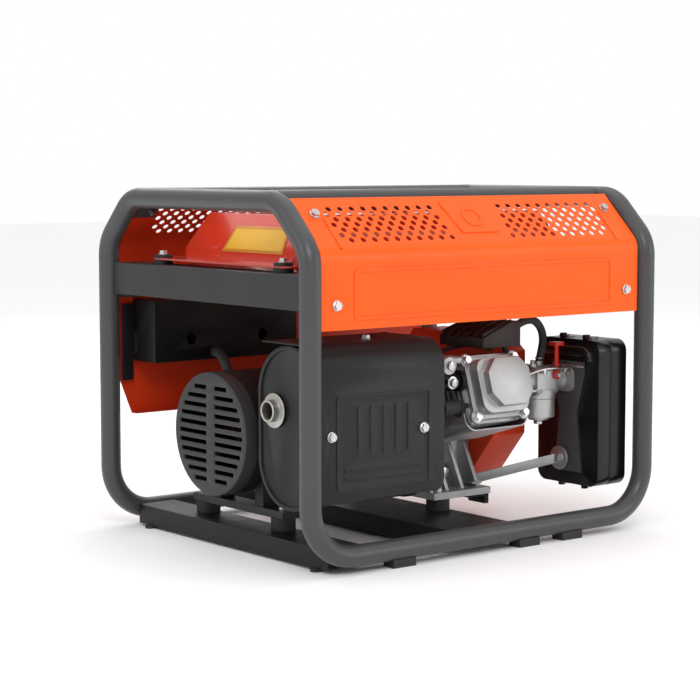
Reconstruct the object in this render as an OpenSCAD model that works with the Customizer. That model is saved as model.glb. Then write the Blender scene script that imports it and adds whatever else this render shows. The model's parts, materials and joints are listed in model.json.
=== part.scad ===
// Portable open-frame generator.
// +X points to the air cleaner, -Y to the muffler side, +Y to the control panel, +Z up.
// The origin is on the ground, under the middle of the frame.

/* [Frame] */
// Overall length of the tube frame
frame_l = 600; // [540:5:720]
// Overall width of the tube frame
frame_w = 475; // [460:5:560]
// Overall height from the ground to the top of the tube
frame_h = 465; // [455:5:540]
// Outer diameter of the frame tube
tube_d = 27; // [24:0.5:30]
// Wall of the frame tube
tube_wall = 1.6; // [1.2:0.1:2.5]
// Centreline radius of the bends at the ground
low_bend = 64; // [50:1:80]
// Centreline radius of the bends at the top corners
top_bend = 48; // [35:1:55]
// Leg of the 45 degree chamfer at the top corners
chamfer = 60; // [55:1:70]
// Height of the rubber feet
foot_h = 8; // [5:1:15]
// Height of the crossbars at the two ends
bar_h = 42; // [36:1:50]

/* [Panels] */
// Thickness of the painted sheet
sheet = 1.2; // [1:0.1:2]
// Height of the rear panel's lower edge above the ground
rear_low = 298; // [292:1:310]
// Height of the front panel's lower edge above the ground
front_low = 155; // [140:1:170]
// Diameter of the vent holes
vent_d = 8; // [5:0.5:9]
// Distance between vent holes in a row
vent_pitch = 18; // [16:1:24]

/* [Engine] */
// Height of the crankshaft axis above the ground
crank_z = 149; // [146:1:156]
// Distance of the crankshaft axis from the middle of the frame
crank_y = 17; // [12:1:22]
// Position of the cylinder along the frame
cyl_x = 73; // [70:1:76]
// Rise of the cylinder axis above the horizontal, degrees
cyl_tilt = 17; // [14:1:20]
// Cylinder bore
bore_d = 68; // [60:1:70]
// Piston stroke
stroke = 54; // [45:1:56]

/* [Alternator] */
// Outer diameter of the alternator body
alt_d = 160; // [150:2:164]
// Rotor diameter
rotor_d = 100; // [90:2:110]

/* [Muffler] */
// Depth of the muffler drum
drum_w = 124; // [110:2:128]
// Height of the muffler drum
drum_h = 202; // [180:2:210]

/* [Air cleaner] */
// Width of the air cleaner
filter_w = 116; // [100:2:120]
// Height of the air cleaner
filter_h = 200; // [180:2:205]

/* [Hidden] */
$fn = 48;
tube_r = tube_d / 2;
post_x = frame_l / 2 - tube_r;
rail_y = frame_w / 2 - tube_r;
rail_z = foot_h + tube_r;
inner_y = rail_y - tube_r;
inner_x = post_x - tube_r;
top_z = frame_h - tube_r;
top_y = rail_y - chamfer;
knee_z = top_z - chamfer;
// Radial play of a shaft in its bore
fit = 0.05;
// Air between pieces that move past each other
gap = 0.3;
// Height of the bead over each joint of a bent tube
bead_h = 0.04;

// Frame stations
seam_x = 107;
spigot_l = 40;
top_rail_y = top_y - top_bend * tan(22.5) - tube_r;
bar_z = 322;
bar_t = 2;
bar_flange = 44;
bar_lip = 20;
channel_x = -222;
channel_w = 56;
cross_x = 3;
cross_w = 106;
channel_top = rail_z + 8.5;
channel_low = 4;
channel_t = 2.2;

// Panel stations: the sheets' inner faces lie in the tube's centreline planes
panel_gap = 2;
panel_l = 2 * (inner_x - panel_gap);
fold_r = 24;
fold_len = fold_r * tan(22.5);
emboss_top = knee_z - 9.5;
front_corner = 48;
vent_x0 = 52;
vent_lean = 1.2;
slope_l = chamfer * sqrt(2) + 4;
bolt_x = inner_x - 25;
bolt_low_z = 328;
bolt_slope = 61;
hole_r = 3.3;
bolt_r = 3;
vent_rows = 7;
vent_step = vent_pitch * 0.48;
vent_cols = 10;

// Engine stations
case_x0 = 18;
case_x1 = 128;
case_r = 70;
case_wall = 8;
base_z = 46;
journal_r = 15;
pin_r = 13;
web_r = stroke / 2 + pin_r + 2;
piston_h = 44;
port_at = 164;
exhaust_up = 16;
intake_up = 6;
plug_up = -20;
deck = 150;
fin_w = 96;
fin_h = 92;
head_l = 28;
cover_at = deck + head_l;
blower_x0 = 130;
blower_x1 = 190;
blower_w = 220;
recoil_x1 = 218;
mount_x = 42;
mount_y = 96;

// Alternator stations
cover_x0 = -265;
cover_x1 = -245;
bell_x1 = -175;
stator_x1 = -85;
shaft_r = 12.5;
air_gap = 0.8;
foot_bar_x = -210;
foot_bar_z = 46;
foot_bar_y = 84;
louvre_pitch = 12;
louvre_h = 5.2;
louvre_web = 9;

// Muffler stations
drum_x0 = -255;
drum_x1 = -78;
shield_x0 = -262;
shield_x1 = -64;
shield_y = -212;
shield_low = 86;
shield_top = 278;
drum_y = shield_y + 7 + drum_w / 2;
drum_z = 172;

// Intake stations
carb_x0 = cyl_x + fin_w / 2;
carb_x1 = 209;
carb_y = crank_y - port_at * cos(cyl_tilt) + intake_up * sin(cyl_tilt);
carb_z = crank_z + port_at * sin(cyl_tilt) + intake_up * cos(cyl_tilt);
filter_x0 = 215;
filter_x1 = 239;
filter_x2 = 268;
filter_y0 = 0.7 - inner_y;
filter_z0 = 58;
duct_r = 8;
duct_bend = 12;
clip_back = 12;
clip_hook = 6;
clip_reach = 16;
wire_r = 1.3;

// Tank stations
tank_z = 371;
tank_half_l = 238;
tank_half_w = 128;
tank_top = 432;
tank_low = 322;
tank_wall = 1.5;
ear_x = 258;
ear_y = 133;
cap_x = 20;
valve_x = 140;
valve_y = -102;

// Control stations
box_x0 = -250;
box_x1 = -10;
box_z0 = 228;
box_z1 = 312;
box_y0 = 168;
face_t = 3;
face_y = rail_y - face_t - fit;
socket_z = 268;
socket_x = [-158, -98];
meter_at = [-212, 272];
switch_at = [-56, 280];
breaker_at = [-34, 286];
ground_at = [-44, 250];
lid_axis_up = 29;
lid_axis_out = 6.5;

// Places that follow from the stations
cover_bolts = [for (x = [-1, 1], y = [-1, 1]) [x * 42, y * 38]];
mount_places = [for (y = [-1, 1]) each [[mount_x, crank_y + y * mount_y],
                                        [foot_bar_x, crank_y + y * foot_bar_y]]];
outlet_y = drum_y + 29;
outlet_z = drum_z + 20;
exhaust_y = crank_y - port_at * cos(cyl_tilt) + exhaust_up * sin(cyl_tilt);
exhaust_z = crank_z + port_at * sin(cyl_tilt) + exhaust_up * cos(cyl_tilt);
shield_bolt_x = [-246, -99];
shield_bolt_z = 168;
shield_top_bolt = [-150, -160];
deflector_z = 252;
bowl_x = 172;
dip_x = 100;
choke_x = 184;
throttle_x = 160;
nipple_z = carb_z - 21;
hose_path = [[valve_x, valve_y, tank_low - 22], [valve_x, valve_y, 250],
             [bowl_x, valve_y, nipple_z], [bowl_x, carb_y + 24, nipple_z]];
filter_y = filter_y0 + filter_w / 2;
filter_z = filter_z0 + filter_h / 2;
clip_y = [-22, 22];

// ---- helpers ----

function unit(v) = v / norm(v);
function turn(a, b) = acos(a * b);
function headings(pts) = [for (i = [1 : len(pts) - 1]) unit(pts[i] - pts[i - 1])];
function setback(dirs, radii, i) =
    (i < 1 || i > len(dirs) - 1) ? 0 : radii[i - 1] * tan(turn(dirs[i - 1], dirs[i]) / 2);

// Round section: a ring, or a full disc when the wall is 0
module tube_section(r, wall) {
    difference() {
        circle(r);
        if (wall > 0) circle(r - wall);
    }
}

module straight_run(a, b, r, wall) {
    d = b - a;
    translate(a)
        rotate([0, acos(d.z / norm(d)), atan2(d.y, d.x)])
            linear_extrude(norm(d)) tube_section(r, wall);
}

// One bend that starts at p, heading a, and ends heading b
module bend_run(p, a, b, bend_r, r, wall) {
    inward = unit(b - a * (a * b));
    axis = cross(a, inward);
    c = p + inward * bend_r;
    multmatrix([[-inward.x, a.x, axis.x, c.x],
                [-inward.y, a.y, axis.y, c.y],
                [-inward.z, a.z, axis.z, c.z],
                [0, 0, 0, 1]])
        rotate_extrude(angle = turn(a, b))
            translate([bend_r, 0]) tube_section(r, wall);
}

// Faint bead where a bend meets a straight run
module bead(p, dir, r, wall) {
    reach = 0.4;
    difference() {
        straight_run(p - dir * reach, p + dir * reach, r + bead_h, 0);
        if (wall > 0) straight_run(p - 2 * dir * reach, p + 2 * dir * reach, r - wall - bead_h, 0);
    }
}

// Tube along a polyline, with one bend radius per inner point
module bent_tube(pts, radii, r, wall = 0) {
    dirs = headings(pts);
    for (i = [0 : len(dirs) - 1])
        straight_run(pts[i] + dirs[i] * setback(dirs, radii, i),
                     pts[i + 1] - dirs[i] * setback(dirs, radii, i + 1), r, wall);
    for (i = [1 : len(dirs) - 1]) {
        from = pts[i] - dirs[i - 1] * setback(dirs, radii, i);
        to = pts[i] + dirs[i] * setback(dirs, radii, i);
        bend_run(from, dirs[i - 1], dirs[i], radii[i - 1], r, wall);
        bead(from, dirs[i - 1], r, wall);
        bead(to, dirs[i], r, wall);
    }
}

module rounded_rect(w, h, r) {
    square([w - 2 * r, h], center = true);
    square([w, h - 2 * r], center = true);
    for (x = [-1, 1], y = [-1, 1])
        translate([x * (w / 2 - r), y * (h / 2 - r)]) circle(r);
}

module rounded_ring(w, h, r, t) {
    difference() {
        rounded_rect(w, h, r);
        rounded_rect(w - 2 * t, h - 2 * t, max(r - t, 0.5));
    }
}

// Hexagon flange bolt, head on +Z, shank down -Z
module flange_bolt(shank) {
    cylinder(r = 6.5, h = 1.5);
    cylinder(r = 5.6, h = 5.5, $fn = 6);
    translate([0, 0, -shank]) cylinder(r = bolt_r, h = shank + 1);
}

module on_x(x = 0) translate([x, 0, 0]) rotate([90, 0, 90]) children();
module crank_frame(x = 0) translate([x, crank_y, crank_z]) rotate([0, 90, 0]) children();
// Frame on the cylinder axis: +Z out along the axis, X along the generator
module cylinder_frame(along = 0)
    translate([cyl_x, crank_y, crank_z]) rotate([90 - cyl_tilt, 0, 0])
        translate([0, 0, along]) children();
// Frame on a chamfer plane: X along the generator, Y up the slope, Z outward; side -1 is the rear
module slope_frame(side)
    mirror([0, side > 0 ? 1 : 0, 0]) translate([0, -rail_y, knee_z]) rotate([45, 0, 0]) children();
// Frame on a side plane: X along the generator, Y up, Z outward
module side_frame(side)
    mirror([0, side > 0 ? 1 : 0, 0]) translate([0, -rail_y, 0]) rotate([90, 0, 0]) children();

// ---- frame ----

function half_path(end) = [
    [seam_x, -rail_y, rail_z], [end * post_x, -rail_y, rail_z],
    [end * post_x, -rail_y, knee_z], [end * post_x, -top_y, top_z],
    [end * post_x, top_y, top_z], [end * post_x, rail_y, knee_z],
    [end * post_x, rail_y, rail_z], [seam_x, rail_y, rail_z]];
half_bends = [low_bend, top_bend, top_bend, top_bend, top_bend, low_bend];

module half_frame(end) bent_tube(half_path(end), half_bends, tube_r, tube_wall);

module frame_left_half() color("#4a4c4e") half_frame(-1);

module frame_right_half() color("#4a4c4e") {
    half_frame(1);
    for (y = [-rail_y, rail_y])
        straight_run([seam_x - spigot_l, y, rail_z], [seam_x + 10, y, rail_z],
                     tube_r - tube_wall - fit, tube_wall);
    for (y = [-rail_y, rail_y])
        straight_run([seam_x + 2, y, rail_z], [seam_x + 8, y, rail_z], tube_r - 0.5, tube_wall);
}

module top_rails() color("#4a4c4e") difference() {
    for (side = [-1, 1])
        straight_run([-post_x, side * top_rail_y, top_z], [post_x, side * top_rail_y, top_z],
                     tube_r, tube_wall);
    for (x = [-post_x, post_x])
        straight_run([x, -top_y, top_z], [x, top_y, top_z], tube_r, 0);
}

module crossbars() color("#3a3b3c") for (end = [-1, 1])
    mirror([end > 0 ? 1 : 0, 0, 0]) translate([-post_x, 0, bar_z]) difference() {
        translate([-bar_t / 2, -inner_y, 0]) {
            cube([bar_t, 2 * inner_y, bar_h]);
            translate([0, 0, bar_h - bar_t]) cube([bar_flange, 2 * inner_y, bar_t]);
            cube([bar_lip, 2 * inner_y, bar_t]);
        }
        for (y = [-ear_y, ear_y])
            translate([post_x - ear_x, y, 0]) cylinder(r = hole_r, h = 2 * bar_h);
    }

// Folded channel, open below, that spans the two rails
module cross_channel(x, w) difference() {
    translate([x - w / 2, -inner_y, channel_low]) cube([w, 2 * inner_y, channel_top - channel_low]);
    translate([x - w / 2 + channel_t, -inner_y - 1, channel_low - 1])
        cube([w - 2 * channel_t, 2 * inner_y + 2, channel_top - channel_low - channel_t + 1]);
}

module cross_channels() color("#262728") difference() {
    union() {
        cross_channel(channel_x, channel_w);
        cross_channel(cross_x, cross_w);
    }
    for (p = mount_places) translate([p.x, p.y, 0]) cylinder(r = hole_r, h = 60);
}

module rubber_feet() color("#1c1c1c") {
    difference() {
        for (x = [-147, 66, 144], y = [-rail_y, rail_y])
            translate([x - 18, y - 10, 0]) cube([36, 20, rail_z]);
        for (y = [-rail_y, rail_y])
            translate([-post_x, y, rail_z]) rotate([0, 90, 0]) cylinder(r = tube_r + fit, h = 2 * post_x);
        translate([-post_x, -rail_y - 20, foot_h + 3])
            cube([2 * post_x, 2 * rail_y + 40, rail_z]);
    }
    for (x = [channel_x - channel_w / 2 + 1, channel_x + channel_w / 2 - 1], y = [-185, 185])
        translate([x, y, 0]) cylinder(r = 7, h = channel_low);
}

// Small plates on the posts that the panels bolt to
module panel_tabs() color("#3a3b3c") difference() {
    for (side = [-1, 1], end = [-1, 1]) {
        tab_l = inner_x - bolt_x + 12;
        tab_x = end > 0 ? bolt_x - 12 : -inner_x;
        side_frame(side) translate([tab_x, bolt_low_z - 13, -2 - fit]) cube([tab_l, 26, 2]);
        slope_frame(side) translate([tab_x, bolt_slope - 13, -2 - fit]) cube([tab_l, 26, 2]);
    }
    panel_bolt_places() translate([0, 0, -20]) cylinder(r = hole_r, h = 40);
}

module panel_bolt_places() for (side = [-1, 1], x = [-bolt_x, bolt_x]) {
    side_frame(side) translate([x, bolt_low_z, 0]) children();
    slope_frame(side) translate([x, bolt_slope, 0]) children();
}

// Staggered vent holes in one group; the inner edge leans with the slant
module vents(x0, lean) {
    for (row = [0 : vent_rows - 1], col = [0 : vent_cols - 1])
        translate([x0 + col * vent_pitch + (row % 2) * vent_pitch / 2 + lean * row,
                   18 + row * vent_step])
            circle(d = vent_d, $fn = 24);
}

// Upper part of a side panel, on the chamfer plane
module panel_slope() {
    linear_extrude(sheet) difference() {
        translate([-panel_l / 2, fold_len]) square([panel_l, slope_l - fold_len]);
        vents(vent_x0, vent_lean);
        mirror([1, 0]) vents(vent_x0, vent_lean);
        for (x = [-bolt_x, bolt_x]) translate([x, bolt_slope]) circle(hole_r);
    }
    // raised badge field, plain
    translate([0, 0, sheet]) linear_extrude(1.6)
        polygon([[-40, 78], [40, 78], [30, 24], [-30, 24]]);
    translate([0, 0, sheet + 1.6]) linear_extrude(1.2)
        translate([0, 50]) difference() {
            circle(16);
            circle(12);
        }
    for (s = [-1, 1]) translate([s * 236, 14, sheet]) linear_extrude(1.4)
        translate([0, 16]) rounded_rect(5, 52, 2.4);
}

// The quarter fold between the vertical face and the chamfer plane
module panel_fold() {
    translate([-panel_l / 2, -rail_y + fold_r, knee_z - fold_len])
        rotate([90, 0, 90])
            intersection() {
                linear_extrude(panel_l) difference() {
                    circle(fold_r + sheet);
                    circle(fold_r);
                }
                linear_extrude(panel_l)
                    polygon([[0, 0], [-60, 0], [-60, 60]]);
            }
}

module panel_face(low, cut_corner = 0) {
    top = knee_z - fold_len;
    end_x = panel_l / 2;
    linear_extrude(sheet) difference() {
        polygon([[-end_x + cut_corner * 0.4, low], [end_x - cut_corner * 0.4, low],
                 [end_x, low + cut_corner], [end_x, top], [-end_x, top], [-end_x, low + cut_corner]]);
        for (x = [-bolt_x, bolt_x]) translate([x, bolt_low_z]) circle(hole_r);
    }
    // stiffening lip along the lower edge
    translate([-end_x + cut_corner * 0.4, low, -10])
        cube([panel_l - cut_corner * 0.8, sheet, 10]);
}

module rear_panel() color("#ff5a12") {
    slope_frame(-1) panel_slope();
    panel_fold();
    side_frame(-1) {
        panel_face(rear_low);
        translate([0, (rear_low + emboss_top) / 2, sheet]) linear_extrude(1.4)
            rounded_ring(442, 62, 6, 4);
    }
}

module front_panel() color("#ff4a10") difference() {
    union() {
        slope_frame(1) panel_slope();
        mirror([0, 1, 0]) panel_fold();
        side_frame(1) {
            panel_face(front_low, front_corner);
            translate([box_x1 + 130, (front_low + emboss_top) / 2, sheet]) linear_extrude(1.4)
                rounded_ring(200, 190, 8, 4);
        }
    }
    side_frame(1) translate([(box_x0 + box_x1) / 2, (box_z0 + box_z1) / 2, -1])
        linear_extrude(10) rounded_rect(box_x1 - box_x0 - 24, box_z1 - box_z0 - 20, 8);
}

// ---- control box ----

module control_box() color("#151515") {
    w = box_x1 - box_x0;
    h = box_z1 - box_z0;
    difference() {
        translate([box_x0, box_y0, box_z0]) cube([w, face_y - box_y0, h]);
        translate([box_x0 + 2, box_y0 + 2, box_z0 + 2]) cube([w - 4, face_y - box_y0, h - 4]);
        for (x = [box_x0 + 60, box_x1 - 60])
            translate([x, box_y0 - 1, box_z0 + 30]) rotate([-90, 0, 0]) cylinder(r = 8, h = 4);
    }
    // straps to the left posts' tab
    translate([-post_x + tube_r + 1, face_y - 6, box_z0 - 26]) cube([18, 2, box_z1 - box_z0 + 20]);
    translate([-post_x + tube_r + 1, face_y - 6, box_z0 + 10]) cube([post_x - tube_r + box_x0, 2, 30]);
}

module control_face() color("#1a1a1a") {
    w = box_x1 - box_x0;
    h = box_z1 - box_z0;
    side_frame(1) translate([(box_x0 + box_x1) / 2, (box_z0 + box_z1) / 2, -face_t - fit])
        linear_extrude(face_t) difference() {
            rounded_rect(w, h, 4);
            translate([-(box_x0 + box_x1) / 2, -(box_z0 + box_z1) / 2]) {
                for (x = socket_x) translate([x, socket_z]) circle(20 + fit);
                translate(meter_at) circle(20 + fit);
                translate(switch_at) square([20, 28], center = true);
                translate(breaker_at) circle(6 + fit);
                translate(ground_at) circle(3 + fit);
            }
        }
}

module face_place(x, z) side_frame(1) translate([x, z, 0]) children();

module sockets() color("#222222") for (x = socket_x) face_place(x, socket_z) difference() {
    union() {
        translate([0, 0, -34]) cylinder(r = 20, h = 36);
        cylinder(r = 26, h = 2);
        for (s = [-1, 1]) translate([s * 16.4 - 2, 0, 0]) {
            translate([0, 18, 0]) cube([4, lid_axis_up - 15, 2]);
            translate([0, lid_axis_up - 3, 0]) cube([4, 6, lid_axis_out + 3]);
        }
        for (s = [-1, 1]) translate([s * 13 - 3, lid_axis_up, lid_axis_out]) rotate([0, 90, 0])
            cylinder(r = 1.2, h = 6);
    }
    translate([0, 0, -12]) cylinder(r = 16, h = 30);
    for (s = [-1, 1]) translate([s * 6.5, 0, -30]) cylinder(r = 2.4, h = 30, $fn = 24);
}

module socket_lid(x) color("#2a2a2a") face_place(x, socket_z) difference() {
    union() {
        translate([0, 0, 2 + gap]) difference() {
            union() {
                cylinder(r = 24, h = 3);
                translate([-14, 0, 0]) cube([28, lid_axis_up - 4, 3]);
            }
            translate([-30, lid_axis_up - 2, -1]) cube([60, 10, 10]);
            for (s = [-1, 1]) translate([s * 21 - 7, 14, -1]) cube([14, 30, 10]);
        }
        translate([-14, lid_axis_up, lid_axis_out]) rotate([0, 90, 0]) cylinder(r = 2.6, h = 28);
        translate([-14, lid_axis_up - 6, 4.6]) cube([28, 6, 3]);
    }
    translate([-15, lid_axis_up, lid_axis_out]) rotate([0, 90, 0]) cylinder(r = 1.2 + fit, h = 30);
}
module socket_lid_left() socket_lid(socket_x[0]);
module socket_lid_right() socket_lid(socket_x[1]);

module voltmeter() color("#e8e8e0") face_place(meter_at.x, meter_at.y) {
    translate([0, 0, -28]) cylinder(r = 20, h = 28);
    cylinder(r = 22, h = 5);
}

module engine_switch() color("#b01818") face_place(switch_at.x, switch_at.y) {
    translate([-8, -12, -1]) difference() {
        cube([16, 24, 5]);
        translate([-1, 12, 7.5]) rotate([8, 0, 0]) cube([18, 20, 6]);
    }
    translate([-8, 0, -1]) rotate([0, 90, 0]) cylinder(r = 5, h = 16);
}

module breaker_button() color("#f0f0f0") face_place(breaker_at.x, breaker_at.y) {
    translate([0, 0, -16]) cylinder(r = 6, h = 22);
    translate([0, 0, -18]) cylinder(r = 8, h = 2);
}

module ground_terminal() color("silver") face_place(ground_at.x, ground_at.y) {
    translate([0, 0, -12]) cylinder(r = 3, h = 24);
    translate([0, 0, fit]) cylinder(r = 7, h = 1.5);
    translate([0, 0, 4]) cylinder(r = 5, h = 5);
    translate([-14, -1.5, 5]) cube([28, 3, 6]);
}

// ---- fuel tank ----

// Solid block with sloped sides: from the flange plane to a smaller top
module tapered_block(base_l, base_w, height, slope_x, slope_y, r) {
    intersection() {
        rotate([90, 0, 0]) linear_extrude(2 * base_w, center = true)
            polygon([[-base_l, -10], [base_l, -10], [base_l, 0], [base_l - slope_x, height],
                     [-base_l + slope_x, height], [-base_l, 0]]);
        rotate([90, 0, 90]) linear_extrude(2 * base_l, center = true)
            polygon([[-base_w, -10], [base_w, -10], [base_w, 0], [base_w - slope_y, height],
                     [-base_w + slope_y, height], [-base_w, 0]]);
        linear_extrude(height) rounded_rect(2 * base_l, 2 * base_w, r);
    }
}

module tank_flange() difference() {
    rounded_rect(2 * ear_x + 20, 2 * ear_y + 40, 16);
    for (x = [-ear_x, ear_x], y = [-ear_y, ear_y]) translate([x, y]) circle(5.2);
}

module tank_upper_shell() color("#d81e0c") translate([0, 0, tank_z]) difference() {
    union() {
        linear_extrude(sheet) tank_flange();
        tapered_block(tank_half_l, tank_half_w, tank_top - tank_z, 34, 26, 26);
        translate([cap_x, 0, 0]) cylinder(r = 26, h = tank_top - tank_z + 12);
    }
    translate([0, 0, -0.5]) tapered_block(tank_half_l - tank_wall, tank_half_w - tank_wall,
        tank_top - tank_z - tank_wall, 34, 26, 25);
    translate([0, 0, -1]) linear_extrude(2)
        rounded_rect(2 * (tank_half_l - tank_wall), 2 * (tank_half_w - tank_wall), 25);
    translate([cap_x, 0, 20]) cylinder(r = 23, h = 80);
}

module tank_lower_shell() color("#c01a0a") translate([0, 0, tank_z]) mirror([0, 0, 1]) difference() {
    union() {
        linear_extrude(sheet) tank_flange();
        tapered_block(tank_half_l - 6, tank_half_w, tank_z - tank_low, 40, 20, 26);
    }
    translate([0, 0, -0.5]) tapered_block(tank_half_l - 6 - tank_wall, tank_half_w - tank_wall,
        tank_z - tank_low - tank_wall, 40, 20, 25);
    translate([0, 0, -1]) linear_extrude(2)
        rounded_rect(2 * (tank_half_l - 6 - tank_wall), 2 * (tank_half_w - tank_wall), 25);
    translate([valve_x, valve_y, 20]) cylinder(r = 6 + fit, h = 80);
}

// Plain plate on the sloped end of the tank
module tank_plate() color("#e8a010") {
    lean = atan2(34, tank_top - tank_z);
    translate([-tank_half_l, -30, tank_z]) rotate([0, lean, 0]) translate([-1.2, 0, 0])
        rotate([90, 0, -90]) translate([0, 0, -1.2 + fit]) linear_extrude(1)
            polygon([[-66, 14], [66, 14], [58, 52], [-58, 52]]);
}

module tank_rubbers() color("#151515") for (x = [-ear_x, ear_x], y = [-ear_y, ear_y])
    translate([x, y, 0]) difference() {
        union() {
            translate([0, 0, bar_z + bar_h]) cylinder(r = 13, h = tank_z - sheet - bar_z - bar_h);
            translate([0, 0, bar_z + bar_h]) cylinder(r = 5, h = tank_z + sheet + 4 - bar_z - bar_h);
            translate([0, 0, tank_z + sheet]) cylinder(r = 12, h = 4);
        }
        translate([0, 0, bar_z]) cylinder(r = hole_r, h = 80);
    }

module fuel_cap() color("#181818") translate([cap_x, 0, tank_top]) difference() {
    union() {
        translate([0, 0, gap]) cylinder(r = 33, h = 20);
        for (a = [0 : 30 : 330]) rotate(a) translate([33, 0, gap]) cylinder(r = 3, h = 16);
    }
    translate([0, 0, -1]) cylinder(r = 26 + gap, h = 14);
}

module fuel_valve() color("silver") translate([valve_x, valve_y, 0]) {
    translate([0, 0, tank_low - 22]) cylinder(r = 4, h = 60);
    translate([0, 0, tank_low - 18]) cylinder(r = 9, h = 18, $fn = 6);
    translate([0, -14, tank_low - 9]) rotate([-90, 0, 0]) cylinder(r = 2.5, h = 14);
}

module fuel_valve_lever() color("#c03018") translate([valve_x, valve_y - 9, tank_low - 9])
    rotate([90, 0, 0]) difference() {
        union() {
            cylinder(r = 6, h = 5);
            translate([-3, -24, 1]) cube([6, 24, 3]);
        }
        translate([0, 0, -1]) cylinder(r = 2.5 + fit, h = 10);
    }

module fuel_hose() color("#181818") bent_tube(hose_path, [25, 10], 4, 1.5);

// ---- engine ----

module fins(from, to, w, h) for (z = [from : 8 : to])
    translate([0, 0, z]) linear_extrude(2.4) rounded_rect(w, h, 10);

module crankcase() color("#b9bcc0") difference() {
    union() {
        on_x(case_x0) translate([crank_y, crank_z]) cylinder(r = case_r, h = case_x1 - case_x0);
        translate([case_x0, crank_y - case_r + 8, base_z])
            cube([case_x1 - case_x0, 2 * case_r - 16, crank_z - base_z]);
        translate([case_x0 + 4, crank_y - mount_y - 16, base_z])
            cube([case_x1 - case_x0 - 8, 2 * (mount_y + 16), 9]);
        cylinder_frame() translate([0, 0, 30]) linear_extrude(deck - 30) rounded_rect(82, 80, 12);
        cylinder_frame() fins(84, deck - 6, fin_w, fin_h);
        translate([dip_x, crank_y + case_r - 10, base_z + 24]) rotate([-90, 0, 0])
            cylinder(r = 13, h = 16);
    }
    on_x(case_x0 + case_wall) translate([crank_y, crank_z])
        cylinder(r = case_r - case_wall, h = case_x1 - case_x0 - 2 * case_wall);
    on_x(case_x0 - 1) translate([crank_y, crank_z]) cylinder(r = journal_r + fit, h = 200);
    cylinder_frame() cylinder(d = bore_d, h = deck + 20);
    translate([case_x0 + case_wall, crank_y - case_r + 16, base_z + 8])
        cube([case_x1 - case_x0 - 2 * case_wall, 2 * case_r - 32, 50]);
    translate([dip_x, crank_y + 40, base_z + 24]) rotate([-90, 0, 0]) cylinder(r = 9, h = 60);
    for (p = mount_places) translate([p.x, p.y, base_z - 1]) cylinder(r = hole_r, h = 12);
}

module oil_dipstick() color("#202020")
    translate([dip_x, crank_y + case_r + 6, base_z + 24]) rotate([-90, 0, 0]) {
    translate([0, 0, fit]) cylinder(r = 14, h = 4);
    translate([0, 0, 4]) cylinder(r = 8, h = 8);
    translate([-2, -11, 4]) cube([4, 22, 10]);
    translate([0, 0, -16]) cylinder(r = 9 - fit, h = 17);
    translate([0, 0, -40]) cylinder(r = 3, h = 30);
}

module crankshaft() color("#8c8f93") on_x() translate([crank_y, crank_z]) {
    translate([0, 0, -125]) cylinder(r = shaft_r, h = 125 + case_x0 + 1);
    translate([0, 0, case_x0 - 4]) cylinder(r = journal_r, h = cyl_x - case_x0 - 7);
    for (x = [-15, 7]) translate([0, 0, cyl_x + x]) cylinder(r = web_r, h = 8);
    translate([-stroke / 2 * cos(cyl_tilt), stroke / 2 * sin(cyl_tilt), cyl_x - 8])
        cylinder(r = pin_r, h = 16);
    translate([0, 0, cyl_x + 14]) cylinder(r = journal_r, h = case_x1 + 4 - cyl_x - 14);
    translate([0, 0, case_x1]) cylinder(r = 11, h = 48);
}

module piston() color("silver") cylinder_frame(deck - 4 - piston_h) difference() {
    cylinder(d = bore_d - 2 * fit, h = piston_h);
    translate([0, 0, -1]) cylinder(d = bore_d - 10, h = piston_h - 7);
    for (z = [32, 36, 40]) translate([0, 0, z]) difference() {
        cylinder(d = bore_d + 2, h = 1.5);
        cylinder(d = bore_d - 4, h = 1.5);
    }
}

module cylinder_head() color("#aeb1b5") cylinder_frame(deck) difference() {
    union() {
        linear_extrude(head_l) rounded_rect(86, 84, 12);
        fins(2, head_l - 8, fin_w, fin_h);
        translate([-fin_w / 2, exhaust_up, port_at - deck]) rotate([0, 90, 0])
            cylinder(r = 13, h = 20);
        translate([fin_w / 2 - 20, intake_up, port_at - deck]) rotate([0, 90, 0])
            cylinder(r = 13.5, h = 20);
    }
    translate([0, 0, -1]) cylinder(r = 28, h = 5);
    translate([-fin_w / 2 - 1, exhaust_up, port_at - deck]) rotate([0, 90, 0])
        cylinder(r = 10, h = 50);
    translate([10, intake_up, port_at - deck]) rotate([0, 90, 0]) cylinder(r = 11, h = 50);
    translate([-fin_w / 2 - 1, plug_up, port_at - deck]) rotate([0, 90, 0])
        cylinder(r = 7 + fit, h = 26);
}

module valve_cover() color("#c4c6c9") cylinder_frame(cover_at) difference() {
    union() {
        linear_extrude(5) {
            rounded_rect(92, 84, 12);
            for (b = cover_bolts) translate(b) circle(9);
        }
        linear_extrude(22) rounded_rect(82, 74, 16);
        translate([3, 2, 0]) linear_extrude(34)
            polygon([[-36, -14], [-20, -32], [22, -32], [37, -16],
                     [37, 16], [22, 32], [-20, 32], [-36, 14]]);
    }
    translate([0, 0, -1]) linear_extrude(19) rounded_rect(76, 68, 14);
    for (b = cover_bolts) translate([b.x, b.y, -1]) cylinder(r = hole_r, h = 10);
}

module cylinder_shroud() color("#d2d4d6") cylinder_frame() difference() {
    translate([0, 0, 86]) linear_extrude(deck + head_l - 90) difference() {
        translate([0, -12]) rounded_rect(fin_w + 16, fin_h - 6, 16);
        translate([0, -10.4]) rounded_rect(fin_w + 12.8, fin_h - 6, 15);
        translate([-100, -20]) square([200, 100]);
    }
    translate([-fin_w, plug_up, port_at]) rotate([0, 90, 0]) cylinder(r = 14, h = fin_w);
}

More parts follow.
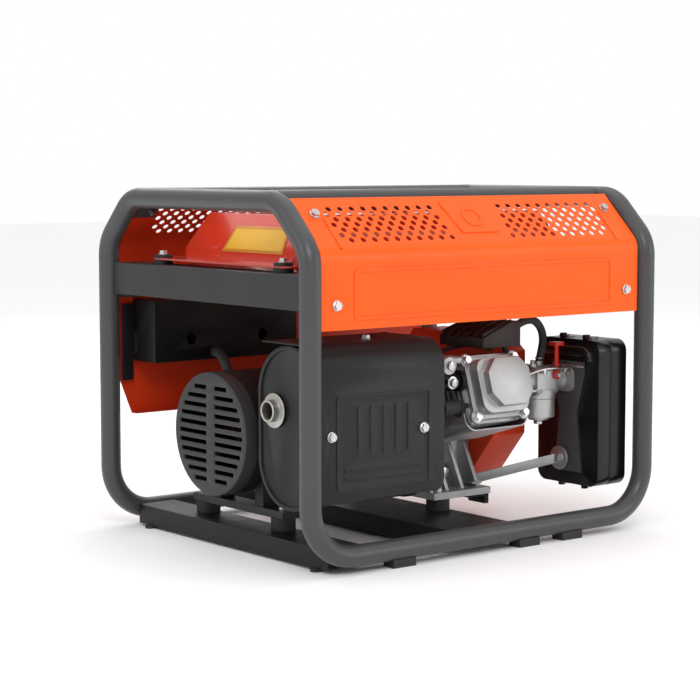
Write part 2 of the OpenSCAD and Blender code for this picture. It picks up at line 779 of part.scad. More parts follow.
module air_deflector() color("#2b2426") {
    translate([0, -58, 0]) rotate([90, 0, 0]) linear_extrude(88)
        polygon([[62, deflector_z], [blower_x0, deflector_z], [blower_x0, 286], [112, 286],
                 [62, deflector_z + 14]]);
    for (y = [-140 : 16 : -60]) translate([0, y, 0]) rotate([90, 0, 0]) linear_extrude(3)
        polygon([[64, deflector_z + 8], [116, 283], [116, 289], [64, deflector_z + 20]]);
}

module blower_outline(inset) {
    w = blower_w / 2 - inset;
    cut = 50;
    translate([crank_y, crank_z]) polygon([
        [-w + cut, -85 + inset], [w - cut, -85 + inset], [w, -85 + cut], [w, 100 - cut],
        [w - cut, 113 - inset], [-w + 30, 113 - inset], [-w, 90], [-w, -85 + cut + 10]]);
}
module blower_housing() color("#e2401c") difference() {
    on_x(blower_x0) linear_extrude(blower_x1 - blower_x0) blower_outline(0);
    on_x(blower_x0 + 2) linear_extrude(blower_x1 - blower_x0 - 4) blower_outline(2);
    on_x(blower_x0 - 1) translate([crank_y, crank_z]) cylinder(r = 34, h = 4);
    on_x(blower_x1 - 3) translate([crank_y, crank_z]) cylinder(r = 62, h = 5);
}

module flywheel() color("#777a7e") on_x(blower_x0 + 8) translate([crank_y, crank_z]) difference() {
    union() {
        cylinder(r = 80, h = 10);
        cylinder(r = 26, h = 30);
        for (a = [0 : 30 : 330]) rotate(a) translate([40, -1.5, 9]) cube([36, 3, 20]);
    }
    translate([0, 0, -1]) cylinder(r = 11 + fit, h = 60);
}

module recoil_cover() color("#1d1d1d") difference() {
    on_x(blower_x1) translate([crank_y, crank_z]) union() {
        cylinder(r = 76, h = 6);
        cylinder(r = 68, h = recoil_x1 - blower_x1);
        translate([56, -32, 8]) cube([26, 16, 16]);
    }
    on_x(blower_x1 - 1) translate([crank_y, crank_z]) cylinder(r = 65, h = recoil_x1 - blower_x1 - 1.5);
    for (a = [0 : 20 : 340]) on_x(recoil_x1 - 4) translate([crank_y, crank_z]) rotate(a)
        translate([30, -2.5, 0]) cube([30, 5, 8]);
    on_x(blower_x1 + 16) translate([crank_y + 50, crank_z - 24, 0]) rotate([0, 90, 0])
        cylinder(r = 4, h = 60);
}

module recoil_handle() color("#202020")
    translate([blower_x1 + 16, crank_y + 82 + gap, crank_z - 24]) {
    rotate([-90, 0, 0]) cylinder(r = 7, h = 14);
    translate([0, 18, -21]) cylinder(r = 8, h = 42);
}

module spark_plug() color("#202020") cylinder_frame(port_at)
    translate([-fin_w / 2, plug_up, 0]) rotate([0, -90, 0]) {
    translate([0, 0, -20]) cylinder(r = 7, h = 21);
    translate([0, 0, gap]) cylinder(r = 10, h = 8, $fn = 6);
    cylinder(r = 5, h = 16);
    translate([0, 0, 10]) cylinder(r = 10, h = 26);
}

// ---- intake ----

module carburettor() color("#c8cacc") translate([0, carb_y, carb_z]) difference() {
    union() {
        on_x(carb_x0) linear_extrude(6) rounded_rect(58, 34, 10);
        on_x(carb_x0) cylinder(r = 15, h = carb_x1 - carb_x0);
        on_x(carb_x0 + 30) linear_extrude(38) rounded_rect(40, 38, 6);
        on_x(carb_x1) linear_extrude(filter_x0 - carb_x1) rounded_rect(58, 34, 10);
        translate([bowl_x, 0, -24]) cylinder(r = 23, h = 12);
        translate([180, 10, 15]) cylinder(r = 7, h = 10);
        translate([bowl_x, 20, nipple_z - carb_z]) rotate([-90, 0, 0]) cylinder(r = 2.4, h = 6);
        translate([choke_x, -19, 8]) rotate([90, 0, 0]) cylinder(r = 3, h = 10);
        translate([throttle_x, 0, 18]) cylinder(r = 3, h = 10);
    }
    on_x(carb_x0 - 1) cylinder(r = 11, h = 200);
}

module float_bowl() color("#d6d8da") translate([bowl_x, carb_y, carb_z - 24 - gap]) mirror([0, 0, 1]) {
    difference() {
        cylinder(r = 22, h = 26);
        translate([0, 0, -1]) cylinder(r = 20, h = 25);
    }
    translate([0, 0, 22]) cylinder(r = 14, h = 8);
    translate([0, 0, 28]) cylinder(r = 5.5, h = 7, $fn = 6);
    cylinder(r = 3, h = 28);
}

module choke_lever() color("#c41c14")
    translate([choke_x, carb_y - 20 - gap, carb_z + 8]) rotate([90, 0, 0]) difference() {
    union() {
        cylinder(r = 6, h = 4);
        translate([-3, 0, 0]) cube([6, 44, 3]);
        translate([-8, 40, -6]) cube([16, 5, 14]);
    }
    translate([0, 0, -1]) cylinder(r = 3 + fit, h = 8);
}

module throttle_lever() color("#9a9da0") translate([throttle_x, carb_y, carb_z + 19 + gap]) difference() {
    union() {
        cylinder(r = 7, h = 3);
        translate([-4, 0, 0]) cube([8, 28, 2.5]);
    }
    translate([0, 0, -1]) cylinder(r = 3 + fit, h = 8);
}

module filter_box(x0, x1, open_x) difference() {
    on_x(x0) translate([filter_y, filter_z]) linear_extrude(x1 - x0)
        rounded_rect(filter_w, filter_h, 16);
    on_x(x0 + (open_x ? 3 : -1)) translate([filter_y, filter_z]) linear_extrude(x1 - x0 - 2)
        rounded_rect(filter_w - 6, filter_h - 6, 13);
}

module filter_base() color("#171717") difference() {
    union() {
        filter_box(filter_x0, filter_x1, true);
        // tapered pad and the raised duct on the outer face
        on_x(filter_x0 - 3) translate([filter_y, filter_z]) linear_extrude(3.5)
            polygon([[-30, -82], [22, -82], [14, 0], [30, 52],
                     [30, 70], [-34, 70], [-34, 52], [-20, 0]]);
        // raised duct: a level run that turns down at its near end
        translate([filter_x0 + 1, filter_y - 27, filter_z + 84]) {
            rotate([-90, 0, 0]) cylinder(r = duct_r, h = 72);
            translate([0, 0, -duct_bend]) rotate([0, 90, 0]) rotate([0, 0, 180])
                rotate_extrude(angle = 90) translate([duct_bend, 0]) circle(duct_r);
        }
        clip_lugs(filter_x0 + clip_back);
    }
    translate([0, carb_y, carb_z]) {
        on_x(filter_x0 - 10) cylinder(r = 11, h = 20);
        on_x(filter_x0 - 10) linear_extrude(10.5) rounded_rect(59, 35, 10);
    }
    clip_bores(filter_x0 + clip_back);
    on_x(filter_x0 + 3) translate([filter_y, filter_z]) linear_extrude(60)
        rounded_rect(filter_w - 6, filter_h - 6, 13);
}

module clip_lugs(x) for (s = [-1, 1], y = clip_y)
    translate([x - 4, filter_y + y - 3, filter_z + s * (filter_h / 2 + 2) - 4]) cube([8, 6, 8]);
module clip_bores(x) for (s = [-1, 1])
    translate([x, filter_y - 50, filter_z + s * (filter_h / 2 + 2)]) rotate([-90, 0, 0])
        cylinder(r = wire_r + fit, h = 100);

// Wire clips that turn in the lugs and reach over the cover's rim
module wire_clips(s) for (y = clip_y)
    translate([filter_x0 + clip_back, filter_y + y, filter_z + s * (filter_h / 2 + 2)]) {
        translate([0, -clip_hook - 6, 0]) rotate([-90, 0, 0])
            cylinder(r = wire_r, h = 2 * clip_hook + 7);
        for (end = [-1, 1])
            translate([end < 0 ? 3 : 0, end * clip_hook, 0]) rotate([0, 90, 0])
                cylinder(r = wire_r - bead_h, h = clip_reach + (end < 0 ? -3 : 0));
        translate([clip_reach, -clip_hook - 1, 0]) rotate([-90, 0, 0])
            cylinder(r = wire_r, h = 2 * clip_hook + 2);
    }
module clips_top() color("silver") wire_clips(1);
module clips_bottom() color("silver") wire_clips(-1);

module filter_cover() color("#141414") {
    filter_box(filter_x1, filter_x2, false);
    for (i = [-3 : 3]) on_x(filter_x2 - 1) translate([filter_y, filter_z + i * 22])
        linear_extrude(2.5) rounded_rect(filter_w - 30, 6, 2.5);
}

module filter_element() color("#3a3a36") on_x(filter_x0 + 4) translate([filter_y, filter_z])
    linear_extrude(filter_x2 - filter_x0 - 8) rounded_ring(filter_w - 14, filter_h - 14, 12, 20);

module filter_stay() color("#a8aaad") {
    straight_run([case_x1 - 10, crank_y - mount_y + 8, base_z + 14], [filter_x0 - 6, carb_y, 92], 5, 0);
    translate([case_x1 - 22, crank_y - mount_y, base_z + 9]) cube([18, 22, 4]);
    translate([filter_x0 - 6, carb_y - 18, 80]) cube([3, 26, 26]);
}

// ---- exhaust ----

module exhaust_pipe() color("#8a7f78") {
    straight_run([drum_x1, exhaust_y, exhaust_z], [cyl_x - fin_w / 2, exhaust_y, exhaust_z], 13, 3);
    translate([cyl_x - fin_w / 2 - 6, exhaust_y, exhaust_z]) on_x() linear_extrude(6) difference() {
        rounded_rect(40, 28, 13);
        circle(11);
    }
}

module on_drum(x) on_x(x) translate([drum_y, drum_z]) children();
module muffler() color("#171717") difference() {
    union() {
        difference() {
            union() {
                on_drum(drum_x0) linear_extrude(drum_x1 - drum_x0)
                    rounded_rect(drum_w, drum_h, drum_w / 2 - 1);
                for (x = [drum_x0 - 3, drum_x1 - 3])
                    on_drum(x) linear_extrude(6) rounded_rect(drum_w + 3, drum_h + 3, drum_w / 2);
            }
            on_drum(drum_x0 - 4) linear_extrude(4) rounded_rect(drum_w - 8, drum_h - 8, drum_w / 2 - 5);
            on_drum(drum_x1) linear_extrude(4) rounded_rect(drum_w - 8, drum_h - 8, drum_w / 2 - 5);
            on_drum(drum_x0 + 1.5) linear_extrude(drum_x1 - drum_x0 - 3)
                rounded_rect(drum_w - 3, drum_h - 3, drum_w / 2 - 2.5);
        }
        on_x(drum_x0 - 15) translate([outlet_y, outlet_z]) cylinder(r = 14, h = 20);
        on_x(drum_x0 - 5) translate([outlet_y, outlet_z]) cylinder(r = 22, h = 6);
    }
    on_x(drum_x0 - 20) translate([outlet_y, outlet_z]) cylinder(r = 11, h = 40);
    on_x(drum_x1 - 10) translate([exhaust_y, exhaust_z]) cylinder(r = 10, h = 20);
}

module heat_shield() color("#2a2b2c") difference() {
    bend = 36;
    back_y = shield_y + 118;
    union() {
        difference() {
            union() {
                translate([shield_x0, shield_y, shield_low])
                    cube([shield_x1 - shield_x0, 1.5, shield_top - bend - shield_low]);
                translate([shield_x0, shield_y + bend, shield_top - 1.5])
                    cube([shield_x1 - shield_x0, back_y - shield_y - bend, 1.5]);
                translate([shield_x0, shield_y + bend, shield_top - bend]) on_x() intersection() {
                    linear_extrude(shield_x1 - shield_x0) difference() {
                        circle(bend);
                        circle(bend - 1.5);
                    }
                    translate([-2 * bend, 0, 0]) cube([2 * bend, 2 * bend, 400]);
                }
            }
            // round off the lower corner at the engine end
            translate([shield_x1, shield_y - 5, shield_low]) rotate([-90, 0, 0])
            linear_extrude(12) difference() {
                square([28, 28], center = true);
                translate([-14, -14]) circle(14);
            }
        }
        // pressed border and ribs
        translate([(shield_x0 + shield_x1) / 2, shield_y, 158]) rotate([90, 0, 0]) {
            linear_extrude(1.4) rounded_ring(150, 118, 6, 3);
            for (z = [-44, -34]) translate([0, z, 0]) linear_extrude(1.2) rounded_rect(126, 4, 1.8);
            for (x = [-40 : 20 : 40]) translate([x, 14, 0]) linear_extrude(1.2)
                rounded_rect(5, 60, 2.4);
        }
        // stand-offs to the drum
        for (x = shield_bolt_x) translate([x, shield_y + 1, shield_bolt_z])
            rotate([-90, 0, 0]) cylinder(r = 5.5, h = 6);
    }
    for (x = shield_bolt_x) translate([x, shield_y - 5, shield_bolt_z])
        rotate([-90, 0, 0]) cylinder(r = hole_r, h = 30);
    translate([shield_top_bolt.x, shield_top_bolt.y, shield_top - 5])
        cylinder(r = hole_r, h = 10);
}

// ---- alternator ----

module alternator_flange() color("#8e9195") difference() {
    crank_frame(stator_x1) cylinder(d = alt_d, h = case_x0 - stator_x1);
    crank_frame(stator_x1 - 1) cylinder(d = alt_d - 12, h = case_x0 - stator_x1 - 7);
    crank_frame(stator_x1) cylinder(r = 30, h = 200);
    for (a = [30 : 60 : 330]) crank_frame(stator_x1 + 30) rotate(a) translate([50, -20, 0])
        cube([50, 40, 50]);
}

module stator() color("#1f1f20") crank_frame(bell_x1) difference() {
    cylinder(d = alt_d - 2, h = stator_x1 - bell_x1);
    translate([0, 0, -1]) cylinder(r = rotor_d / 2 + air_gap, h = stator_x1 - bell_x1 + 2);
}

module rotor() color("#70513a") crank_frame() difference() {
    union() {
        translate([0, 0, bell_x1 - 2]) cylinder(d = rotor_d, h = stator_x1 - bell_x1 + 4);
        translate([0, 0, -238]) cylinder(r = shaft_r, h = 80);
        translate([0, 0, bell_x1 - 20]) cylinder(r = 28, h = 20);
        translate([0, 0, stator_x1 + 1]) cylinder(r = 60, h = 12);
    }
    translate([0, 0, -126]) cylinder(r = shaft_r + fit, h = 100);
}

module alternator_bell() color("#1e1e1f") difference() {
    union() {
        difference() {
            crank_frame(cover_x1) cylinder(d = alt_d, h = bell_x1 - cover_x1);
            crank_frame(cover_x1 - 1) cylinder(d = alt_d - 10, h = bell_x1 - cover_x1 + 2);
        }
        crank_frame(-234) cylinder(r = 24, h = 16);
        for (a = [45 : 90 : 315]) crank_frame(-232) rotate(a) translate([20, -5, 0])
            cube([alt_d / 2 - 22, 10, 10]);
        for (y = [-1, 1]) translate([foot_bar_x - 12, crank_y + y * 48 - 9, foot_bar_z + 10])
            cube([24, 18, 45]);
    }
    crank_frame(cover_x1) cylinder(r = shaft_r + fit, h = 60);
    crank_frame(cover_x1 + 14) cylinder(d = alt_d - 10, h = 2);
    crank_frame(cover_x1 + 28) cylinder(d = alt_d - 10, h = 60);
}

module alternator_cover() color("#5d6062") difference() {
    crank_frame(cover_x0) cylinder(d = alt_d, h = cover_x1 - cover_x0 - fit);
    crank_frame(cover_x0 + 3) cylinder(d = alt_d - 6, h = 30);
    for (i = [-5 : 5]) {
        row_end = sqrt(pow(alt_d / 2 - 10, 2) - pow(i * louvre_pitch, 2));
        if (row_end > louvre_web + 7) for (s = [-1, 1])
            translate([cover_x0 - 1, crank_y + s * (louvre_web + row_end) / 2 - (row_end - louvre_web) / 2,
                       crank_z + i * louvre_pitch - louvre_h / 2])
                cube([5, row_end - louvre_web, louvre_h]);
    }
}

module foot_bar() color("#5d6062") difference() {
    translate([foot_bar_x - 13, crank_y - foot_bar_y - 16, foot_bar_z])
        cube([26, 2 * foot_bar_y + 32, 10]);
    for (y = [-1, 1]) translate([foot_bar_x, crank_y + y * foot_bar_y, 0])
        cylinder(r = hole_r, h = 100);
}

module rubber_mounts() color("#161616") {
    for (p = mount_places) translate([p.x, p.y, channel_top]) difference() {
        cylinder(r = 16, h = base_z - channel_top);
        translate([0, 0, -1]) cylinder(r = hole_r, h = 60);
    }
}

// Every M6 flange bolt on the machine
module flange_bolts() color("silver") {
    panel_bolt_places() translate([0, 0, sheet]) flange_bolt(12);
    for (b = cover_bolts) cylinder_frame(cover_at + 5) translate([b.x, b.y, 0]) flange_bolt(5);
    for (x = shield_bolt_x) translate([x, shield_y, shield_bolt_z]) rotate([90, 0, 0]) flange_bolt(6);
    translate([shield_top_bolt.x, shield_top_bolt.y, shield_top]) flange_bolt(3);
    for (x = [-ear_x, ear_x], y = [-ear_y, ear_y]) translate([x, y, tank_z + sheet + 4])
        flange_bolt(26);
    for (p = mount_places) translate([p.x, p.y, p.x > 0 ? base_z + 9 : foot_bar_z + 10])
        flange_bolt(34);
}

frame_left_half();
frame_right_half();
top_rails();
crossbars();
cross_channels();
rubber_feet();
panel_tabs();
rear_panel();
front_panel();
flange_bolts();
control_box();
control_face();
sockets();
socket_lid_left();
socket_lid_right();
voltmeter();
engine_switch();
breaker_button();
ground_terminal();
tank_upper_shell();
tank_lower_shell();
tank_plate();
tank_rubbers();
fuel_cap();
fuel_valve();
fuel_valve_lever();
fuel_hose();
crankcase();
crankshaft();
piston();
cylinder_head();
valve_cover();
cylinder_shroud();
air_deflector();
flywheel();
blower_housing();
recoil_cover();
recoil_handle();
spark_plug();
oil_dipstick();
carburettor();
float_bowl();
choke_lever();
throttle_lever();
filter_base();
filter_cover();
filter_element();
filter_stay();
clips_top();
clips_bottom();
exhaust_pipe();
muffler();
heat_shield();
alternator_flange();
stator();
rotor();
alternator_bell();
alternator_cover();
foot_bar();
rubber_mounts();
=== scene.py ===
"""Visual model of an open-frame generator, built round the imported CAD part."""

import json
from math import cos, radians, sin

import bpy
from mathutils import Matrix, Vector

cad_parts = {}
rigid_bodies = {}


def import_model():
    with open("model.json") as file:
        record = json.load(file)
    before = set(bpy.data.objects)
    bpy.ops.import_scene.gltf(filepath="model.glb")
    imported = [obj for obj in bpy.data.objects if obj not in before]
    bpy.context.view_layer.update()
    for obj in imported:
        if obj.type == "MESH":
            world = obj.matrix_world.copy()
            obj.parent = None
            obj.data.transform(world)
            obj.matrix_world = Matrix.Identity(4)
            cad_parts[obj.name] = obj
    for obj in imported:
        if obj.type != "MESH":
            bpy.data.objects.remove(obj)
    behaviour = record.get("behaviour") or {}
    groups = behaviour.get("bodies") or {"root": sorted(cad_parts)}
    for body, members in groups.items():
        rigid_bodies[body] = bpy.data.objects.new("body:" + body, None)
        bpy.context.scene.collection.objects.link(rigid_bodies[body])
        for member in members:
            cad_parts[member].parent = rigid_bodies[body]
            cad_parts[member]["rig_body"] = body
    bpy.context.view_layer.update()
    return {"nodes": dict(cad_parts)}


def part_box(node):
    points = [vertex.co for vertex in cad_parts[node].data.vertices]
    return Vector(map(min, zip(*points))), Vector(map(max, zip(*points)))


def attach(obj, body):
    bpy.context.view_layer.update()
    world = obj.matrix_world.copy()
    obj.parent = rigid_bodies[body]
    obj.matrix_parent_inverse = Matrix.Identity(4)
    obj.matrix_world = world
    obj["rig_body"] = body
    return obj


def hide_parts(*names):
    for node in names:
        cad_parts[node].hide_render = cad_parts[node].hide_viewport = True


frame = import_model()
NODES = frame["nodes"]
MM = 0.001

# Surfaces of the CAD model that the added pieces meet, in metres
CASE_WALL_Y = -0.045
FOOT_NEAR_Y = -0.083
PAD_INSET = 0.004
OUTLET_DEPTH = 0.0115
BOWL_X = 0.172
# Radius of each hose, lead and rod
HOSE_RADIUS = 0.0055
LEAD_RADIUS = 0.0034
LOOM_RADIUS = 0.0065
ROD_RADIUS = 0.0016
# Cast gussets on the crankcase
RIB_PLACES = (0.030, 0.058, 0.086, 0.114)
RIB_HALF = 0.003
RIB_DEPTH = 0.036
RIB_HEIGHT = 0.062
RIB_TAPER = 0.030
# Idle screw's spring
SPRING_TURNS = 6
SPRING_PITCH = 0.0021
bpy.ops.object.select_all(action="DESELECT")


# ---- camera, light and floor ----


def make_camera():
    """A long lens from the near left corner, a little above the tank's height."""
    data = bpy.data.cameras.new("camera")
    data.lens = 102.05
    data.sensor_width = 36
    data.clip_end = 20
    camera = bpy.data.objects.new("camera", data)
    camera.location = (-1.7102, -2.0796, 0.4999)
    camera.rotation_euler = (radians(84.561), 0, radians(-38.649))
    bpy.context.scene.collection.objects.link(camera)
    bpy.context.scene.camera = camera


def area_light(name, place, target, size, watts):
    data = bpy.data.lights.new(name, "AREA")
    data.shape = "RECTANGLE"
    data.size, data.size_y = size
    data.energy = watts
    lamp = bpy.data.objects.new(name, data)
    lamp.location = place
    lamp.rotation_euler = (Vector(target) - Vector(place)).to_track_quat("-Z", "Y").to_euler()
    bpy.context.scene.collection.objects.link(lamp)


def make_studio():
    middle = (0, 0, 0.22)
    area_light("key", (-1.6, -2.6, 2.3), middle, (1.2, 1.2), 30)
    area_light("left_fill", (-2.8, 0.3, 1.2), middle, (1.2, 1.0), 9)
    area_light("right_fill", (1.9, -2.4, 0.9), middle, (1.0, 1.2), 11)
    area_light("top", (0.1, 0.2, 2.9), middle, (2.0, 2.0), 12)
    area_light("back", (1.2, 2.6, 1.9), middle, (1.8, 1.2), 12)
    bpy.ops.object.light_add(type="SUN", location=(0, 0, 4))
    sky = bpy.context.object
    sky.name = "sky"
    sky.data.energy = 1.1
    sky.data.angle = radians(120)
    world = bpy.data.worlds.new("studio")
    world.use_nodes = True
    backdrop = world.node_tree.nodes["Background"]
    backdrop.inputs["Color"].default_value = (1, 1, 1, 1)
    seen = world.node_tree.nodes.new("ShaderNodeLightPath")
    strength = world.node_tree.nodes.new("ShaderNodeMapRange")
    strength.inputs["To Min"].default_value = 0.62
    strength.inputs["To Max"].default_value = 1.0
    world.node_tree.links.new(seen.outputs["Is Camera Ray"], strength.inputs["Value"])
    world.node_tree.links.new(strength.outputs["Result"], backdrop.inputs["Strength"])
    bpy.context.scene.world = world
    bpy.context.scene.view_settings.view_transform = "Standard"


def make_floor():
    """A large, flat, pale floor under the machine."""
    bpy.ops.mesh.primitive_plane_add(size=24, location=(0, 0, 0))
    floor = bpy.context.object
    floor.name = "floor"
    floor.data.materials.append(paper_finish())
    bpy.ops.object.select_all(action="DESELECT")


# ---- finishes ----


class Finish:
    """A node material under construction, with short ways to add the usual layers."""

    def __init__(self, name, colour, roughness, metallic=0.0, coat=0.0, coat_roughness=0.1):
        self.material = bpy.data.materials.new(name)
        self.material.use_nodes = True
        self.tree = self.material.node_tree
        self.shader = self.tree.nodes["Principled BSDF"]
        self.shader.inputs["Base Color"].default_value = (*colour, 1)
        self.shader.inputs["Roughness"].default_value = roughness
        self.shader.inputs["Metallic"].default_value = metallic
        self.shader.inputs["Coat Weight"].default_value = coat
        self.shader.inputs["Coat Roughness"].default_value = coat_roughness
        self.colour_out = None
        self.colour = (*colour, 1)
        self.height = None
        place = self.add("ShaderNodeTexCoord")
        self.where = place.outputs["Object"]

    def add(self, kind, **values):
        node = self.tree.nodes.new(kind)
        for key, value in values.items():
            setattr(node, key, value)
        return node

    def link(self, source, target):
        self.tree.links.new(source, target)

    def stretched(self, scale):
        """Object coordinates scaled by a different amount along each axis."""
        node = self.add("ShaderNodeMapping")
        node.inputs["Scale"].default_value = scale
        self.link(self.where, node.inputs["Vector"])
        return node.outputs["Vector"]

    def noise(self, scale, detail=4.0, rough=0.55, where=None):
        node = self.add("ShaderNodeTexNoise")
        node.inputs["Scale"].default_value = scale
        node.inputs["Detail"].default_value = detail
        node.inputs["Roughness"].default_value = rough
        self.link(where or self.where, node.inputs["Vector"])
        return node.outputs["Fac"]

    def cells(self, scale, feature="F1"):
        node = self.add("ShaderNodeTexVoronoi", feature=feature)
        node.inputs["Scale"].default_value = scale
        self.link(self.where, node.inputs["Vector"])
        return node.outputs["Distance"]

    def remap(self, value, low, high, out_low=0.0, out_high=1.0):
        node = self.add("ShaderNodeMapRange")
        node.inputs["From Min"].default_value = low
        node.inputs["From Max"].default_value = high
        node.inputs["To Min"].default_value = out_low
        node.inputs["To Max"].default_value = out_high
        self.link(value, node.inputs["Value"])
        return node.outputs["Result"]

    def times(self, a, b):
        node = self.add("ShaderNodeMath", operation="MULTIPLY")
        self.link(a, node.inputs[0])
        if isinstance(b, float):
            node.inputs[1].default_value = b
        else:
            self.link(b, node.inputs[1])
        return node.outputs[0]

    def tint(self, mask, colour):
        """Blends another colour in where the mask is high."""
        node = self.add("ShaderNodeMix", data_type="RGBA")
        node.inputs[6].default_value = self.colour
        if self.colour_out is not None:
            self.link(self.colour_out, node.inputs[6])
        node.inputs[7].default_value = (*colour, 1)
        self.link(mask, node.inputs[0])
        self.colour_out = node.outputs[2]
        return self

    def gloss(self, mask, low, high):
        """Roughness runs from low to high as the mask goes from 0 to 1."""
        self.link(self.remap(mask, 0, 1, low, high), self.shader.inputs["Roughness"])
        return self

    def relief(self, height, strength, distance):
        """Adds a bump on top of those already there; distance is in metres."""
        node = self.add("ShaderNodeBump")
        node.inputs["Strength"].default_value = strength
        node.inputs["Distance"].default_value = distance
        self.link(height, node.inputs["Height"])
        if self.height is not None:
            self.link(self.height, node.inputs["Normal"])
        self.height = node.outputs["Normal"]
        return self

    def worn_edges(self, radius, amount, colour, grain=60.0):
        """Edges rub through to another colour in broken patches."""
        soft = self.add("ShaderNodeBevel", samples=4)
        soft.inputs["Radius"].default_value = radius
        flat = self.add("ShaderNodeNewGeometry")
        apart = self.add("ShaderNodeVectorMath", operation="DOT_PRODUCT")
        self.link(soft.outputs["Normal"], apart.inputs[0])
        self.link(flat.outputs["Normal"], apart.inputs[1])
        edge = self.remap(apart.outputs["Value"], 0.99, 0.8)
        broken = self.remap(self.noise(grain, 6), 0.46, 0.62)
        self.tint(self.times(self.times(edge, broken), amount), colour)
        return self

    def rounded_edges(self, radius):
        """Edges catch the light as if they had a small radius."""
        soft = self.add("ShaderNodeBevel", samples=4)
        soft.inputs["Radius"].default_value = radius
        self.height = soft.outputs["Normal"]
        return self

    def done(self):
        if self.colour_out is not None:
            self.link(self.colour_out, self.shader.inputs["Base Color"])
        if self.height is not None:
            self.link(self.height, self.shader.inputs["Normal"])
        return self.material


def paper_finish():
    made = Finish("floor_paper", (0.97, 0.97, 0.97), 0.9)
    made.tint(made.remap(made.noise(3), 0.35, 0.7, 0, 0.25), (0.94, 0.943, 0.948))
    made.relief(made.noise(900, 2), 0.1, 0.0002)
    return made.done()


def frame_paint():
    """Dark grey baked enamel on steel tube, satin with faint orange peel."""
    made = Finish("frame_paint", (0.052, 0.053, 0.055), 0.34, coat=0.12, coat_roughness=0.22)
    made.shader.inputs["Specular IOR Level"].default_value = 0.38
    made.rounded_edges(0.0008)
    made.tint(made.remap(made.noise(7, 5), 0.35, 0.7, 0, 0.5), (0.055, 0.057, 0.061))
    made.tint(made.remap(made.noise(420, 3), 0.62, 0.72, 0, 0.35), (0.075, 0.077, 0.08))
    made.worn_edges(0.0011, 0.55, (0.20, 0.20, 0.205))
    made.gloss(made.noise(26, 5), 0.28, 0.44)
    made.relief(made.noise(340, 2), 0.10, 0.0003)
    return made.done()


def black_sheet_paint(name, grey, low, high):
    """Semi-matt black paint on pressed sheet, lightly dusted and scuffed."""
    made = Finish(name, (grey, grey, grey * 1.04), low)
    made.shader.inputs["Specular IOR Level"].default_value = 0.28
    made.rounded_edges(0.0008)
    made.tint(made.remap(made.noise(9, 6), 0.4, 0.75, 0, 0.5), (grey * 1.5, grey * 1.5, grey * 1.5))
    made.worn_edges(0.0010, 0.5, (0.13, 0.13, 0.135))
    made.gloss(made.noise(40, 5), low, high)
    made.relief(made.noise(520, 3), 0.14, 0.0003)
    return made.done()


def panel_paint(name, colour, deep):
    """Orange-red powder coat: fine peel, slight tone drift, paler rubbed edges."""
    made = Finish(name, colour, 0.34, coat=0.08, coat_roughness=0.10)
    made.shader.inputs["Specular IOR Level"].default_value = 0.16
    made.rounded_edges(0.0009)
    made.tint(made.remap(made.noise(5, 4), 0.35, 0.7, 0, 0.55), deep)
    made.tint(made.remap(made.noise(600, 2), 0.64, 0.74, 0, 0.25), tuple(c * 0.55 for c in colour))
    made.worn_edges(0.0010, 0.45, (0.62, 0.36, 0.28))
    made.gloss(made.noise(30, 5), 0.30, 0.42)
    made.relief(made.noise(380, 2), 0.10, 0.0003)
    return made.done()


def tank_paint():
    """Deep gloss red-orange with a clear coat over soft pressed steel."""
    made = Finish("tank_paint", (0.70, 0.040, 0.014), 0.26, coat=0.9, coat_roughness=0.05)
    made.rounded_edges(0.0015)
    made.tint(made.remap(made.noise(4, 3), 0.35, 0.7, 0, 0.5), (0.55, 0.032, 0.010))
    made.worn_edges(0.0012, 0.35, (0.75, 0.25, 0.16))
    made.gloss(made.noise(18, 5), 0.20, 0.32)
    made.relief(made.noise(16, 2), 0.06, 0.0012)
    made.relief(made.noise(420, 2), 0.05, 0.0002)
    return made.done()


def cast_aluminium(name, tone, grain=900.0):
    """As-cast light alloy: fine pitted skin with dull patches and bright edges."""
    made = Finish(name, tone, 0.42, metallic=0.9)
    made.rounded_edges(0.0010)
    made.tint(made.remap(made.noise(14, 6), 0.38, 0.72, 0, 0.6), tuple(c * 0.72 for c in tone))
    made.tint(made.remap(made.cells(grain), 0.0, 0.32, 0.45, 0), tuple(c * 0.5 for c in tone))
    made.worn_edges(0.0011, 0.6, (0.86, 0.87, 0.88))
    made.gloss(made.noise(55, 6), 0.34, 0.58)
    made.relief(made.cells(grain), 0.28, 0.0004)
    made.relief(made.noise(160, 4), 0.12, 0.0006)
    return made.done()


def bright_zinc():
    """Zinc-plated fasteners and strips with faint darker patches."""
    made = Finish("bright_zinc", (0.62, 0.625, 0.63), 0.24, metallic=1.0)
    made.rounded_edges(0.0006)
    made.tint(made.remap(made.noise(90, 5), 0.4, 0.7, 0, 0.7), (0.38, 0.375, 0.36))
    made.gloss(made.noise(240, 5), 0.18, 0.38)
    made.relief(made.noise(900, 3), 0.10, 0.0002)
    return made.done()


def turned_steel():
    """Ground and turned steel with fine lines round the shaft."""
    made = Finish("turned_steel", (0.60, 0.60, 0.61), 0.27, metallic=1.0)
    made.tint(made.remap(made.noise(30, 5), 0.4, 0.7, 0, 0.5), (0.46, 0.46, 0.46))
    lines = made.noise(40, 3, where=made.stretched((60, 1, 1)))
    made.gloss(lines, 0.2, 0.4)
    made.relief(lines, 0.1, 0.0002)
    return made.done()


def soft_rubber(name, grey):
    made = Finish(name, (grey, grey, grey), 0.68)
    made.rounded_edges(0.0010)
    made.tint(made.remap(made.noise(35, 6), 0.42, 0.75, 0, 0.6), (grey * 2.2, grey * 2.15, grey * 2.1))
    made.gloss(made.noise(60, 5), 0.58, 0.8)
    made.relief(made.noise(700, 3), 0.25, 0.0003)
    return made.done()


